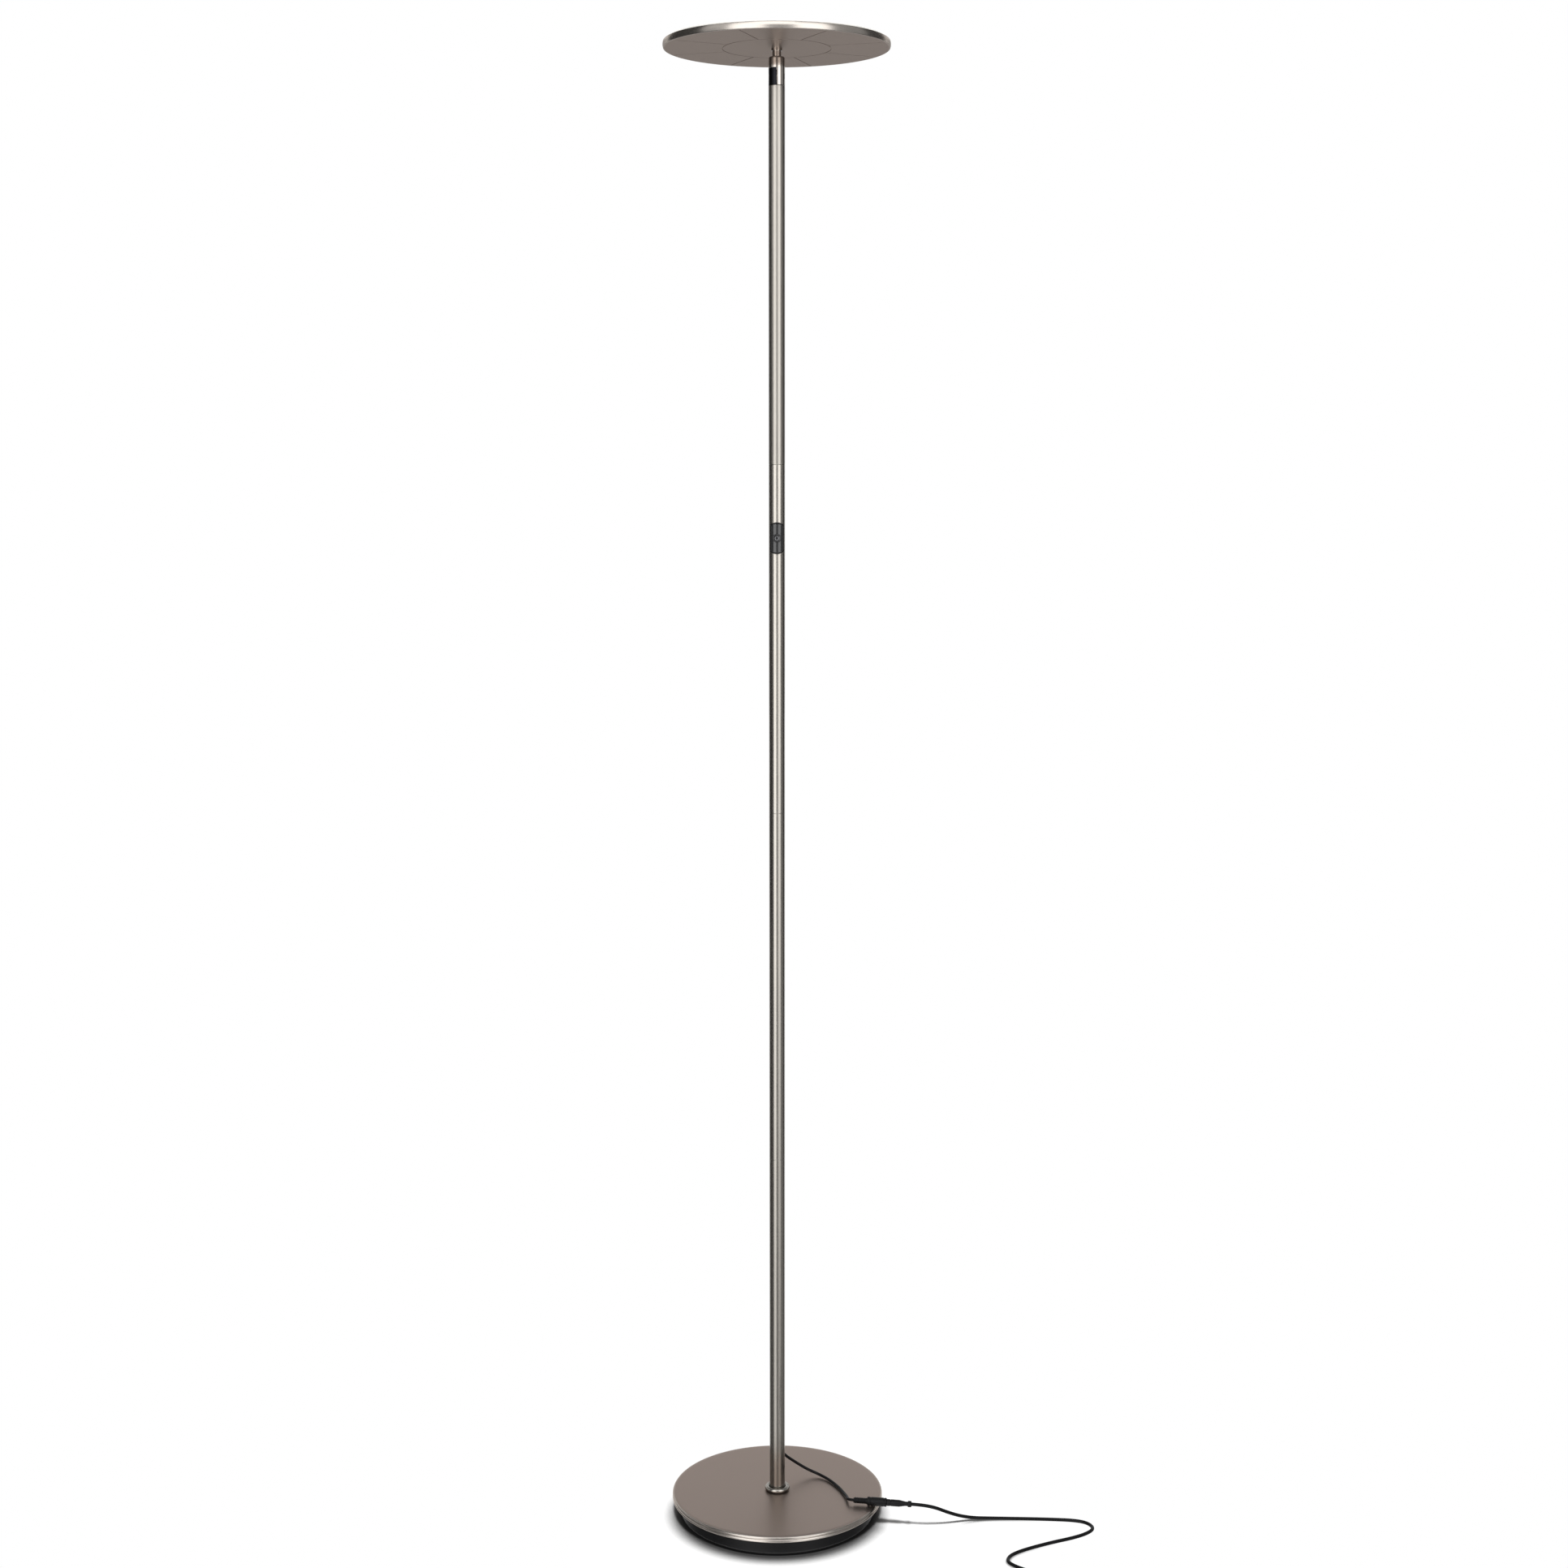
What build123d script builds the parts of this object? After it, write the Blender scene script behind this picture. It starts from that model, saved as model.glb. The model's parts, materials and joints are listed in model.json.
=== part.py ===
from build123d import *
import math
import os

# Slim torchiere floor lamp: a round weighted base, a pole of four screwed tubes with a push
# switch, and a flat round uplight head on a tilting half-lap knuckle. A low-voltage lead
# leaves the back of the pole and ends in an in-line connector, and a cord runs on from there
# to a plug-in adapter. Millimetres, floor at z = 0, pole on the z axis, front towards -y.

os.makedirs("parts", exist_ok=True)

# Fits
thread_fit = 0.05
tube_fit = 0.05
slip_fit = 0.1
hole_clearance = 0.3

# Base
base_diameter = 235.0
base_height = 28.0
cover_rim_height = 7.1
cover_bead_depth = 0.9
cover_wall = 1.2
cover_lip_width = 7.0
pan_gap = 1.6
pan_wall = 2.0
pan_floor = 2.5
pan_step_width = 7.0
pan_step_height = 2.5
pan_round = 1.2
pad_thickness = 2.5
pad_margin = 1.5
well_margin = 5.5
weight_top_gap = 5.8
weight_clearance = 1.0
boss_wall = 3.0
stud_diameter = 10.0
stud_engagement = 15.0
stud_end_below_nut = 0.8
stud_floor_gap = 1.1
stud_chamfer = 1.0
washer_diameter = 21.0
washer_thickness = 1.6
nut_across_flats = 17.0
nut_height = 6.0
collar_width = 5.25
collar_height = 6.5
collar_round = 2.6

# Pole
pole_diameter = 17.0
tube_wall = 1.0
tube_end_round = 0.35
bottom_tube_length = 384.5
lower_tube_length = 385.0
switch_tube_length = 371.5
top_tube_length = 387.0
foot_insert_length = 20.0
coupler_thread_diameter = 10.0
coupler_thread_length = 14.0
coupler_thread_relief = 1.0
coupler_grip_length = 18.0
coupler_socket_floor = 8.0
wire_bore = 6.5

# Push switch in the third tube
switch_rise = 294.5
switch_length = 33.6
switch_end_rise = 2.6
switch_chord = 14.0
switch_skin = 0.75
switch_body_length = 25.0
switch_body_reach = 1.5
switch_body_wall = 0.75
switch_front_wall = 1.7
button_diameter = 9.0
button_proud = 0.7
button_round = 0.5
button_flange = 0.5
button_flange_thickness = 0.6
button_stem_diameter = 3.0
button_stem_length = 1.1
button_travel = 0.8
button_rest_gap = 0.1
mark_radius = 1.9
mark_stroke = 0.5
mark_relief = 0.15
mark_bar_rise = 1.3
tact_size = 6.0
plunger_diameter = 3.0
plunger_proud = 1.5
plunger_seat = 0.8
board_thickness = 1.2
board_lip = 0.35

# Tilting knuckle
lug_gap = 0.35
friction_washer_thickness = 0.45
friction_washer_margin = 1.1
knuckle_plug_length = 18.0
journal_diameter = 6.0
journal_length = 3.35
journal_groove_depth = 0.3
ring_thickness = 0.8
ring_overhang = 0.55
ring_chamber_clearance = 0.2
cap_diameter = 7.9
cap_thickness = 1.2
cap_recess = 2.3
swivel_body_height = 11.3
shoulder_round = 2.0
neck_diameter = 9.2
neck_height = 5.9
neck_collar_width = 1.05
neck_collar_height = 2.2

# Head
head_diameter = 235.0
rim_height = 6.9
rim_crown = 0.6
rim_edge_round = 0.8
rim_wall = 4.0
plate_thickness = 2.0
ledge_width = 3.0
ledge_height = 4.9
groove_width = 0.9
groove_depth = 0.4
groove_ring_radius = 56.0
groove_count = 8
groove_first_angle = 26.0
groove_end_margin = 5.0
diffuser_gap = 0.3
diffuser_proud = 3.0
diffuser_wall = 1.8
diffuser_round = 2.4
spigot_diameter = 8.0
neck_nut_across_flats = 13.0
neck_nut_height = 2.6
spigot_end_above_nut = 0.5
led_board_gap = 6.5
led_board_hole_margin = 2.5
led_length = 5.7
led_width = 3.0
led_height = 0.7
led_edge_margin = 12.0
led_ring_count = 3
led_ring_spacing = 26.0
led_spacing = 17.0
board_screw_count = 4
board_screw_diameter = 2.5
board_screw_head_diameter = 4.6
board_screw_head_height = 1.3
board_screw_bite = 1.2

# Wires inside the lamp
wire_diameter = 1.6
wire_channel = 2.6
wire_split_gap = 0.1
wire_side_left = 4.4
wire_side_right = 5.6
wire_tight_radius = 1.6
wire_bend_radius = 4.0
wire_pad_margin = 4.0
wire_rise_above_spigot = 1.4
board_wire_offset = 8.0
board_wire_standoff = 3.4
wire_lane_shift = 20.0

# Lead from the back of the pole
cord_exit_rise = 48.0
grommet_wall = 1.3
grommet_flange = 1.15
grommet_proud = 1.4
grommet_depth = 2.2
lead_diameter = 3.2
lead_inner_end = 6.0
lead_straight = 6.0

# In-line connector, lying on the edge of the base
connector_x = 84.6
connector_y = -38.6
connector_heading = -9.3
connector_rest_gap = 0.3
jack_boot_diameter = 6.6
jack_boot_length = 15.3
jack_diameter = 9.6
jack_length = 21.5
jack_round = 1.2
jack_socket_spare = 1.5
plug_diameter = 7.4
plug_length = 14.8
plug_taper_length = 6.0
plug_neck_diameter = 4.8
plug_neck_length = 2.7
plug_ring_diameter = 6.8
plug_ring_length = 4.0
barrel_diameter = 5.5
barrel_bore = 2.5
barrel_length = 9.5

# Cord from the connector to the adapter
cord_diameter = 3.8
cord_bend_share = 0.45
cord_straight = 12.0
coil_pitch = 4.3
coil_inner_radius = 12.4
coil_quarter_turns = 33
coil_x = 285.0
coil_y = -196.0
coil_start_angle = 48.0
coil_lift = 1.0
tail_straight_at_coil = 9.0
tail_straight_at_boot = 7.0
tie_width = 6.0
tie_thickness = 0.6
tie_gap = 0.3
tie_angle = 175.0

# Plug-in adapter, lying on the floor
adapter_x = 244.0
adapter_y = -240.0
adapter_length = 64.0
adapter_width = 40.0
adapter_height = 28.0
adapter_wall = 1.8
adapter_round = 4.0
adapter_edge_round = 1.8
adapter_boot_length = 13.0
adapter_boot_diameter = 8.0
adapter_boot_tip_diameter = 5.6
adapter_cord_height = 5.0
blade_length = 17.0
blade_width = 6.3
blade_thickness = 1.5
blade_spacing = 12.7
blade_inner_length = 7.0
adapter_board_margin = 3.0
transformer_size = 18.0
transformer_height = 14.0

# Levels and radii that follow from the sizes above
base_radius = base_diameter / 2
bead_root_radius = base_radius - cover_bead_depth
pan_radius = bead_root_radius - cover_lip_width - pan_gap
pan_step_radius = pan_radius - pan_step_width
stud_radius = stud_diameter / 2
well_radius = washer_diameter / 2 + well_margin
pan_bottom_z = pad_thickness
pan_shelf_z = pan_bottom_z + pan_step_height
inner_floor_z = pan_bottom_z + pan_floor
inner_shelf_z = pan_shelf_z + pan_floor
stud_bottom_z = stud_floor_gap
nut_bottom_z = stud_bottom_z + stud_end_below_nut
well_ceiling_z = nut_bottom_z + nut_height + washer_thickness
well_top_z = well_ceiling_z + pan_floor
cover_inner_z = base_height - cover_wall

pole_radius = pole_diameter / 2
tube_bore_radius = pole_radius - tube_wall
insert_radius = tube_bore_radius - tube_fit
seam_1_z = base_height + bottom_tube_length
seam_2_z = seam_1_z + lower_tube_length
seam_3_z = seam_2_z + switch_tube_length
pole_top_z = seam_3_z + top_tube_length
cord_exit_z = base_height + cord_exit_rise
cord_exit_radius = lead_diameter / 2 + thread_fit + grommet_wall
grommet_radius = cord_exit_radius + grommet_flange
switch_z = seam_2_z + switch_rise
switch_cavity_width = button_diameter + 2 * (button_flange + slip_fit)
switch_body_width = switch_cavity_width + 2 * (switch_body_wall + board_lip)

lug_radius = pole_radius
lug_face = (friction_washer_thickness + thread_fit) / 2
pivot_z = pole_top_z + lug_radius + lug_gap
swivel_bottom_z = pivot_z + lug_radius + lug_gap
swivel_top_z = swivel_bottom_z + swivel_body_height
journal_radius = journal_diameter / 2
journal_end = lug_face + journal_length
cap_inset = pole_radius - cap_recess
neck_collar_z = swivel_top_z + neck_height
head_bottom_z = neck_collar_z + neck_collar_height

head_radius = head_diameter / 2
plate_top_z = head_bottom_z + plate_thickness
ledge_z = head_bottom_z + ledge_height
rim_top_z = head_bottom_z + rim_height
rim_inner_radius = head_radius - rim_wall
led_board_top_z = plate_top_z + board_thickness
led_board_radius = rim_inner_radius - ledge_width - led_board_gap
led_board_hole_radius = neck_nut_across_flats / math.sqrt(3) + led_board_hole_margin
led_outer_ring_radius = led_board_radius - led_edge_margin
board_screw_ring_radius = led_outer_ring_radius - 1.5 * led_ring_spacing
spigot_top_z = plate_top_z + neck_nut_height + spigot_end_above_nut

# Planes that the sideways features are drawn on
rear_plane = Plane(origin=(0, 0, 0), x_dir=(-1, 0, 0), z_dir=(0, 1, 0))


# Round pad under the base
with BuildPart() as foot_pad:
    with BuildSketch():
        Circle(pan_step_radius - pad_margin)
        Circle(well_radius + pad_margin, mode=Mode.SUBTRACT)
    extrude(amount=pad_thickness)
foot_pad.part.label = "foot_pad"
export_step(foot_pad.part, "parts/foot_pad.step")

# Moulded pan, with a stepped floor and a well that the nut sits up inside
with BuildPart() as base_pan:
    with BuildSketch(Plane.XY.offset(pan_shelf_z)):
        Circle(pan_radius)
    extrude(amount=cover_inner_z - pan_shelf_z)
    fillet(base_pan.edges().sort_by(Axis.Z)[0], radius=pan_round)
    with BuildSketch(Plane.XY.offset(pan_bottom_z)):
        Circle(pan_step_radius)
    extrude(amount=pan_step_height)
    with BuildSketch(Plane.XY.offset(inner_shelf_z)):
        Circle(pan_radius - pan_wall)
    extrude(amount=cover_inner_z - inner_shelf_z, mode=Mode.SUBTRACT)
    with BuildSketch(Plane.XY.offset(inner_floor_z)):
        Circle(pan_step_radius - pan_wall)
    extrude(amount=inner_shelf_z - inner_floor_z, mode=Mode.SUBTRACT)
    with BuildSketch(Plane.XY.offset(pan_bottom_z)):
        Circle(well_radius + pan_wall)
    extrude(amount=well_top_z - pan_bottom_z)
    with BuildSketch(Plane.XY.offset(pan_bottom_z)):
        Circle(well_radius)
    extrude(amount=well_ceiling_z - pan_bottom_z, mode=Mode.SUBTRACT)
    with Locations((0, 0, well_top_z)):
        Hole(stud_radius + hole_clearance)
base_pan.part.label = "base_pan"
export_step(base_pan.part, "parts/base_pan.step")

# Cast weight, with a boss up to the cover and a recess over the well
with BuildPart() as base_weight:
    with BuildSketch(Plane.XY.offset(inner_floor_z)):
        Circle(pan_step_radius - pan_wall - weight_clearance)
    extrude(amount=inner_shelf_z - inner_floor_z)
    with BuildSketch(Plane.XY.offset(inner_shelf_z)):
        Circle(pan_radius - pan_wall - weight_clearance)
    extrude(amount=cover_inner_z - weight_top_gap - inner_shelf_z)
    with BuildSketch(Plane.XY.offset(inner_shelf_z)):
        Circle(well_radius + pan_wall + weight_clearance + boss_wall)
    extrude(amount=cover_inner_z - inner_shelf_z)
    with BuildSketch(Plane.XY.offset(inner_floor_z)):
        Circle(well_radius + pan_wall + weight_clearance)
    extrude(amount=well_top_z - inner_floor_z, mode=Mode.SUBTRACT)
    with Locations((0, 0, cover_inner_z)):
        Hole(stud_radius + hole_clearance)
base_weight.part.label = "base_weight"
export_step(base_weight.part, "parts/base_weight.step")

# Spun cover: a flat top, a rim of two beads and a lip turned in under it
bead_height = cover_rim_height / 2
cover_rim_z = base_height - cover_rim_height
with BuildPart() as base_cover:
    with BuildSketch(Plane.XZ):
        with BuildLine():
            Polyline(
                (bead_root_radius, cover_rim_z),
                (bead_root_radius - cover_lip_width, cover_rim_z),
                (bead_root_radius - cover_lip_width, cover_rim_z + cover_wall),
                (bead_root_radius - cover_wall, cover_rim_z + cover_wall),
                (bead_root_radius - cover_wall, cover_inner_z),
                (stud_radius + hole_clearance, cover_inner_z),
                (stud_radius + hole_clearance, base_height),
                (bead_root_radius, base_height),
            )
            ThreePointArc(
                (bead_root_radius, base_height),
                (base_radius, base_height - bead_height / 2),
                (bead_root_radius, base_height - bead_height),
            )
            ThreePointArc(
                (bead_root_radius, base_height - bead_height),
                (base_radius, cover_rim_z + bead_height / 2),
                (bead_root_radius, cover_rim_z),
            )
        make_face()
    revolve(axis=Axis.Z)
base_cover.part.label = "base_cover"
export_step(base_cover.part, "parts/base_cover.step")

# Stud, washer and nut that pull the base together and carry the pole
with BuildPart() as base_stud:
    with BuildSketch(Plane.XY.offset(stud_bottom_z)):
        Circle(stud_radius)
    extrude(amount=base_height + stud_engagement - stud_bottom_z)
    chamfer(base_stud.edges().filter_by(GeomType.CIRCLE), length=stud_chamfer)
base_stud.part.label = "base_stud"
export_step(base_stud.part, "parts/base_stud.step")

with BuildPart() as base_washer:
    with BuildSketch(Plane.XY.offset(well_ceiling_z - washer_thickness)):
        Circle(washer_diameter / 2)
        Circle(stud_radius + hole_clearance, mode=Mode.SUBTRACT)
    extrude(amount=washer_thickness)
base_washer.part.label = "base_washer"
export_step(base_washer.part, "parts/base_washer.step")

with BuildPart() as base_nut:
    with BuildSketch(Plane.XY.offset(nut_bottom_z)):
        RegularPolygon(nut_across_flats / 2, 6, major_radius=False)
        Circle(stud_radius + thread_fit, mode=Mode.SUBTRACT)
    extrude(amount=nut_height)
base_nut.part.label = "base_nut"
export_step(base_nut.part, "parts/base_nut.step")

# Trim collar round the foot of the pole
with BuildPart() as base_collar:
    with BuildSketch(Plane.XY.offset(base_height)):
        Circle(pole_radius + slip_fit + collar_width)
    extrude(amount=collar_height)
    fillet(base_collar.edges().sort_by(Axis.Z)[-1], radius=collar_round)
    with BuildSketch(Plane.XY.offset(base_height)):
        Circle(pole_radius + slip_fit)
    extrude(amount=collar_height, mode=Mode.SUBTRACT)
base_collar.part.label = "base_collar"
export_step(base_collar.part, "parts/base_collar.step")

# Threaded insert in the foot of the bottom tube
with BuildPart() as pole_foot_insert:
    with BuildSketch(Plane.XY.offset(base_height)):
        Circle(insert_radius)
    extrude(amount=foot_insert_length)
    with BuildSketch(Plane.XY.offset(base_height)):
        Circle(stud_radius + thread_fit)
    extrude(amount=stud_engagement + coupler_thread_relief, mode=Mode.SUBTRACT)
pole_foot_insert.part.label = "pole_foot_insert"
export_step(pole_foot_insert.part, "parts/pole_foot_insert.step")


def tube_between(bottom_z, top_z):
    """One tube of the pole, with its outer ends slightly rounded."""
    with BuildPart() as tube:
        with BuildSketch(Plane.XY.offset(bottom_z)):
            Circle(pole_radius)
        extrude(amount=top_z - bottom_z)
        fillet(tube.edges().filter_by(GeomType.CIRCLE), radius=tube_end_round)
        with BuildSketch(Plane.XY.offset(bottom_z)):
            Circle(tube_bore_radius)
        extrude(amount=top_z - bottom_z, mode=Mode.SUBTRACT)
    return tube.part


# Bottom tube, with the hole for the lead in its back
with BuildPart() as pole_tube_bottom:
    add(tube_between(base_height, seam_1_z))
    with BuildSketch(rear_plane):
        with Locations((0, cord_exit_z)):
            Circle(cord_exit_radius + slip_fit)
    extrude(amount=pole_diameter, mode=Mode.SUBTRACT)
pole_tube_bottom.part.label = "pole_tube_bottom"
export_step(pole_tube_bottom.part, "parts/pole_tube_bottom.step")

with BuildPart() as pole_tube_lower:
    add(tube_between(seam_1_z, seam_2_z))
pole_tube_lower.part.label = "pole_tube_lower"
export_step(pole_tube_lower.part, "parts/pole_tube_lower.step")

# Third tube, with the window for the switch in its front
with BuildPart() as pole_tube_switch:
    add(tube_between(seam_2_z, seam_3_z))
    with BuildSketch(Plane.XZ):
        with Locations((0, switch_z)):
            Rectangle(switch_body_width + 2 * slip_fit, switch_body_length + 2 * slip_fit)
    extrude(amount=pole_diameter, mode=Mode.SUBTRACT)
pole_tube_switch.part.label = "pole_tube_switch"
export_step(pole_tube_switch.part, "parts/pole_tube_switch.step")

with BuildPart() as pole_tube_top:
    add(tube_between(seam_3_z, pole_top_z))
pole_tube_top.part.label = "pole_tube_top"
export_step(pole_tube_top.part, "parts/pole_tube_top.step")

# Screwed couplers: a socket in the top of each lower tube, a stud in the foot of each upper one
coupler_thread_radius = coupler_thread_diameter / 2
coupler_socket_length = coupler_thread_length + coupler_thread_relief + coupler_socket_floor
for number, seam_z in enumerate((seam_1_z, seam_2_z, seam_3_z), start=1):
    with BuildPart() as coupler_socket:
        with BuildSketch(Plane.XY.offset(seam_z - coupler_socket_length)):
            Circle(insert_radius)
            Circle(wire_bore / 2, mode=Mode.SUBTRACT)
        extrude(amount=coupler_socket_length)
        with BuildSketch(Plane.XY.offset(seam_z)):
            Circle(coupler_thread_radius + thread_fit)
        extrude(amount=-coupler_thread_length - coupler_thread_relief, mode=Mode.SUBTRACT)
    coupler_socket.part.label = f"coupler_socket_{number}"
    export_step(coupler_socket.part, f"parts/coupler_socket_{number}.step")

    with BuildPart() as coupler_stud:
        with BuildSketch(Plane.XY.offset(seam_z)):
            Circle(insert_radius)
        extrude(amount=coupler_grip_length)
        with BuildSketch(Plane.XY.offset(seam_z)):
            Circle(coupler_thread_radius)
        extrude(amount=-coupler_thread_length)
        with Locations((0, 0, seam_z + coupler_grip_length)):
            Hole(wire_bore / 2)
    coupler_stud.part.label = f"coupler_stud_{number}"
    export_step(coupler_stud.part, f"parts/coupler_stud_{number}.step")

# Switch housing: a curved skin over the tube and a box that passes in through the window
switch_front = pole_radius + switch_skin
switch_box_front = pole_radius + switch_skin / 2
front_wall_inner = switch_box_front - switch_front_wall
board_front = -switch_body_reach + board_thickness + hole_clearance
switch_side_height = switch_length - 2 * switch_end_rise
with BuildPart() as switch_skin_shell:
    with BuildSketch(Plane.XZ):
        with BuildLine():
            Line(
                (-switch_chord / 2, switch_z - switch_side_height / 2),
                (-switch_chord / 2, switch_z + switch_side_height / 2),
            )
            ThreePointArc(
                (-switch_chord / 2, switch_z + switch_side_height / 2),
                (0, switch_z + switch_length / 2),
                (switch_chord / 2, switch_z + switch_side_height / 2),
            )
            Line(
                (switch_chord / 2, switch_z + switch_side_height / 2),
                (switch_chord / 2, switch_z - switch_side_height / 2),
            )
            ThreePointArc(
                (switch_chord / 2, switch_z - switch_side_height / 2),
                (0, switch_z - switch_length / 2),
                (-switch_chord / 2, switch_z - switch_side_height / 2),
            )
        make_face()
    extrude(amount=pole_diameter)
    with BuildSketch(Plane.XY.offset(switch_z - switch_length)):
        Circle(switch_front)
        Circle(pole_radius + thread_fit, mode=Mode.SUBTRACT)
    extrude(amount=2 * switch_length, mode=Mode.INTERSECT)

with BuildPart() as switch_housing:
    with BuildSketch(Plane.XZ.offset(-switch_body_reach)):
        with Locations((0, switch_z)):
            Rectangle(switch_body_width, switch_body_length)
    extrude(amount=pole_diameter)
    with BuildSketch(Plane.XY.offset(switch_z - switch_length)):
        Circle(switch_box_front)
    extrude(amount=2 * switch_length, mode=Mode.INTERSECT)
    add(switch_skin_shell.part)
    with BuildSketch(Plane.XZ.offset(board_front)):
        with Locations((0, switch_z)):
            Rectangle(
                switch_cavity_width,
                switch_body_length - 2 * (switch_body_wall + board_lip),
            )
    extrude(amount=front_wall_inner - board_front, mode=Mode.SUBTRACT)
    with BuildSketch(Plane.XZ.offset(-switch_body_reach)):
        with Locations((0, switch_z)):
            Rectangle(
                switch_body_width - 2 * switch_body_wall,
                switch_body_length - 2 * switch_body_wall,
            )
    extrude(amount=switch_body_reach + board_front, mode=Mode.SUBTRACT)
    with BuildSketch(Plane.XZ):
        with Locations((0, switch_z)):
            Circle(button_diameter / 2 + slip_fit)
    extrude(amount=pole_diameter, mode=Mode.SUBTRACT)
switch_housing.part.label = "switch_housing"
export_step(switch_housing.part, "parts/switch_housing.step")

# Push button, held in by a flange behind the front wall, with a raised power mark
button_face = switch_front + button_proud
flange_front = front_wall_inner - button_rest_gap
flange_back = flange_front - button_flange_thickness
stem_end = flange_back - button_stem_length
with BuildPart() as switch_button:
    with BuildSketch(Plane.XZ.offset(flange_back)):
        with Locations((0, switch_z)):
            Circle(button_diameter / 2)
    extrude(amount=button_face - flange_back)
    fillet(switch_button.edges().sort_by(Axis.Y)[0], radius=button_round)
    with BuildSketch(Plane.XZ.offset(flange_back)):
        with Locations((0, switch_z)):
            Circle(button_diameter / 2 + button_flange)
    extrude(amount=button_flange_thickness)
    with BuildSketch(Plane.XZ.offset(stem_end)):
        with Locations((0, switch_z)):
            Circle(button_stem_diameter / 2)
    extrude(amount=button_stem_length)
    with BuildSketch(Plane.XZ.offset(button_face)):
        with Locations((0, switch_z)):
            Circle(mark_radius)
            Circle(mark_radius - mark_stroke, mode=Mode.SUBTRACT)
        with Locations((0, switch_z + mark_radius)):
            Rectangle(3 * mark_stroke, 2 * mark_radius, mode=Mode.SUBTRACT)
        with Locations((0, switch_z + mark_bar_rise)):
            Rectangle(mark_stroke, mark_radius)
    extrude(amount=mark_relief)
switch_button.part.label = "switch_button"
export_step(switch_button.part, "parts/switch_button.step")

# Tact switch on its board, and the plunger that the button's stem pushes
plunger_back = stem_end - plunger_proud - plunger_seat
with BuildPart() as tact_switch:
    with BuildSketch(Plane.XZ.offset(board_front)):
        with Locations((0, switch_z)):
            Rectangle(tact_size, tact_size)
    extrude(amount=stem_end - plunger_proud - board_front)
    with BuildSketch(Plane.XZ.offset(plunger_back - button_travel - slip_fit)):
        with Locations((0, switch_z)):
            Circle(plunger_diameter / 2 + slip_fit)
    extrude(amount=pole_diameter, mode=Mode.SUBTRACT)
tact_switch.part.label = "tact_switch"
export_step(tact_switch.part, "parts/tact_switch.step")

with BuildPart() as tact_plunger:
    with BuildSketch(Plane.XZ.offset(plunger_back)):
        with Locations((0, switch_z)):
            Circle(plunger_diameter / 2)
    extrude(amount=stem_end - plunger_back)
tact_plunger.part.label = "tact_plunger"
export_step(tact_plunger.part, "parts/tact_plunger.step")

with BuildPart() as switch_board:
    with BuildSketch(Plane.XZ.offset(board_front - board_thickness)):
        with Locations((0, switch_z)):
            Rectangle(
                switch_body_width - 2 * (switch_body_wall + slip_fit),
                switch_body_length - 2 * (switch_body_wall + slip_fit),
            )
    extrude(amount=board_thickness)
switch_board.part.label = "switch_board"
export_step(switch_board.part, "parts/switch_board.step")


def tube_along(points, radii, diameter):
    """A round cord or wire along straight runs joined by tangent arcs."""
    with BuildPart() as tube:
        with BuildLine() as route:
            FilletPolyline(*points, radius=radii)
        with BuildSketch(Plane(origin=route.line @ 0, z_dir=route.line % 0)):
            Circle(diameter / 2)
        sweep()
    return tube.part, route.wires()[0].length


# Lower knuckle: a plug in the top tube, the left half of the half-lap, and a hollow journal. Both
# halves are round at the back and square at the front, so the head tilts back and stops level.
wire_entry_z = pole_top_z - knuckle_plug_length
upper_wire_turns = (
    (0, 0, pole_top_z - 2 * wire_bend_radius),
    (-wire_side_left, 0, pole_top_z + lug_gap),
    (-wire_side_left, 0, pivot_z),
)
lower_channel, _ = tube_along(
    ((0, 0, wire_entry_z - slip_fit),) + upper_wire_turns + ((journal_end + slip_fit, 0, pivot_z),),
    (wire_bend_radius, wire_bend_radius, wire_tight_radius),
    wire_channel,
)
with BuildPart() as lower_knuckle:
    with BuildSketch(Plane.XY.offset(pole_top_z)):
        Circle(pole_radius)
        with Locations((pole_radius - lug_face, 0)):
            Rectangle(pole_diameter, pole_diameter, mode=Mode.SUBTRACT)
    extrude(amount=2 * lug_radius + lug_gap)
    with BuildSketch(Plane.YZ):
        with Locations((0, pivot_z)):
            Circle(lug_radius)
        with Locations((0, pivot_z - lug_radius)):
            Rectangle(pole_diameter, 2 * lug_radius)
        with Locations((-lug_radius / 2, pivot_z + lug_radius / 2)):
            Rectangle(lug_radius, lug_radius)
    extrude(amount=pole_diameter, both=True, mode=Mode.INTERSECT)
    with BuildSketch(Plane.XY.offset(wire_entry_z)):
        Circle(insert_radius)
    extrude(amount=knuckle_plug_length)
    with BuildSketch(Plane.YZ.offset(-lug_face)):
        with Locations((0, pivot_z)):
            Circle(journal_radius)
    extrude(amount=lug_face + journal_end)
    with BuildSketch(Plane.YZ.offset(journal_end - 2 * ring_thickness)):
        with Locations((0, pivot_z)):
            Circle(journal_radius)
            Circle(journal_radius - journal_groove_depth, mode=Mode.SUBTRACT)
    extrude(amount=ring_thickness + slip_fit, mode=Mode.SUBTRACT)
    with BuildSketch(Plane.YZ.offset(-cap_inset)):
        with Locations((0, pivot_z)):
            Circle(cap_diameter / 2 + thread_fit)
    extrude(amount=-pole_radius, mode=Mode.SUBTRACT)
    add(lower_channel, mode=Mode.SUBTRACT)
lower_knuckle.part.label = "lower_knuckle"
export_step(lower_knuckle.part, "parts/lower_knuckle.step")

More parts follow.
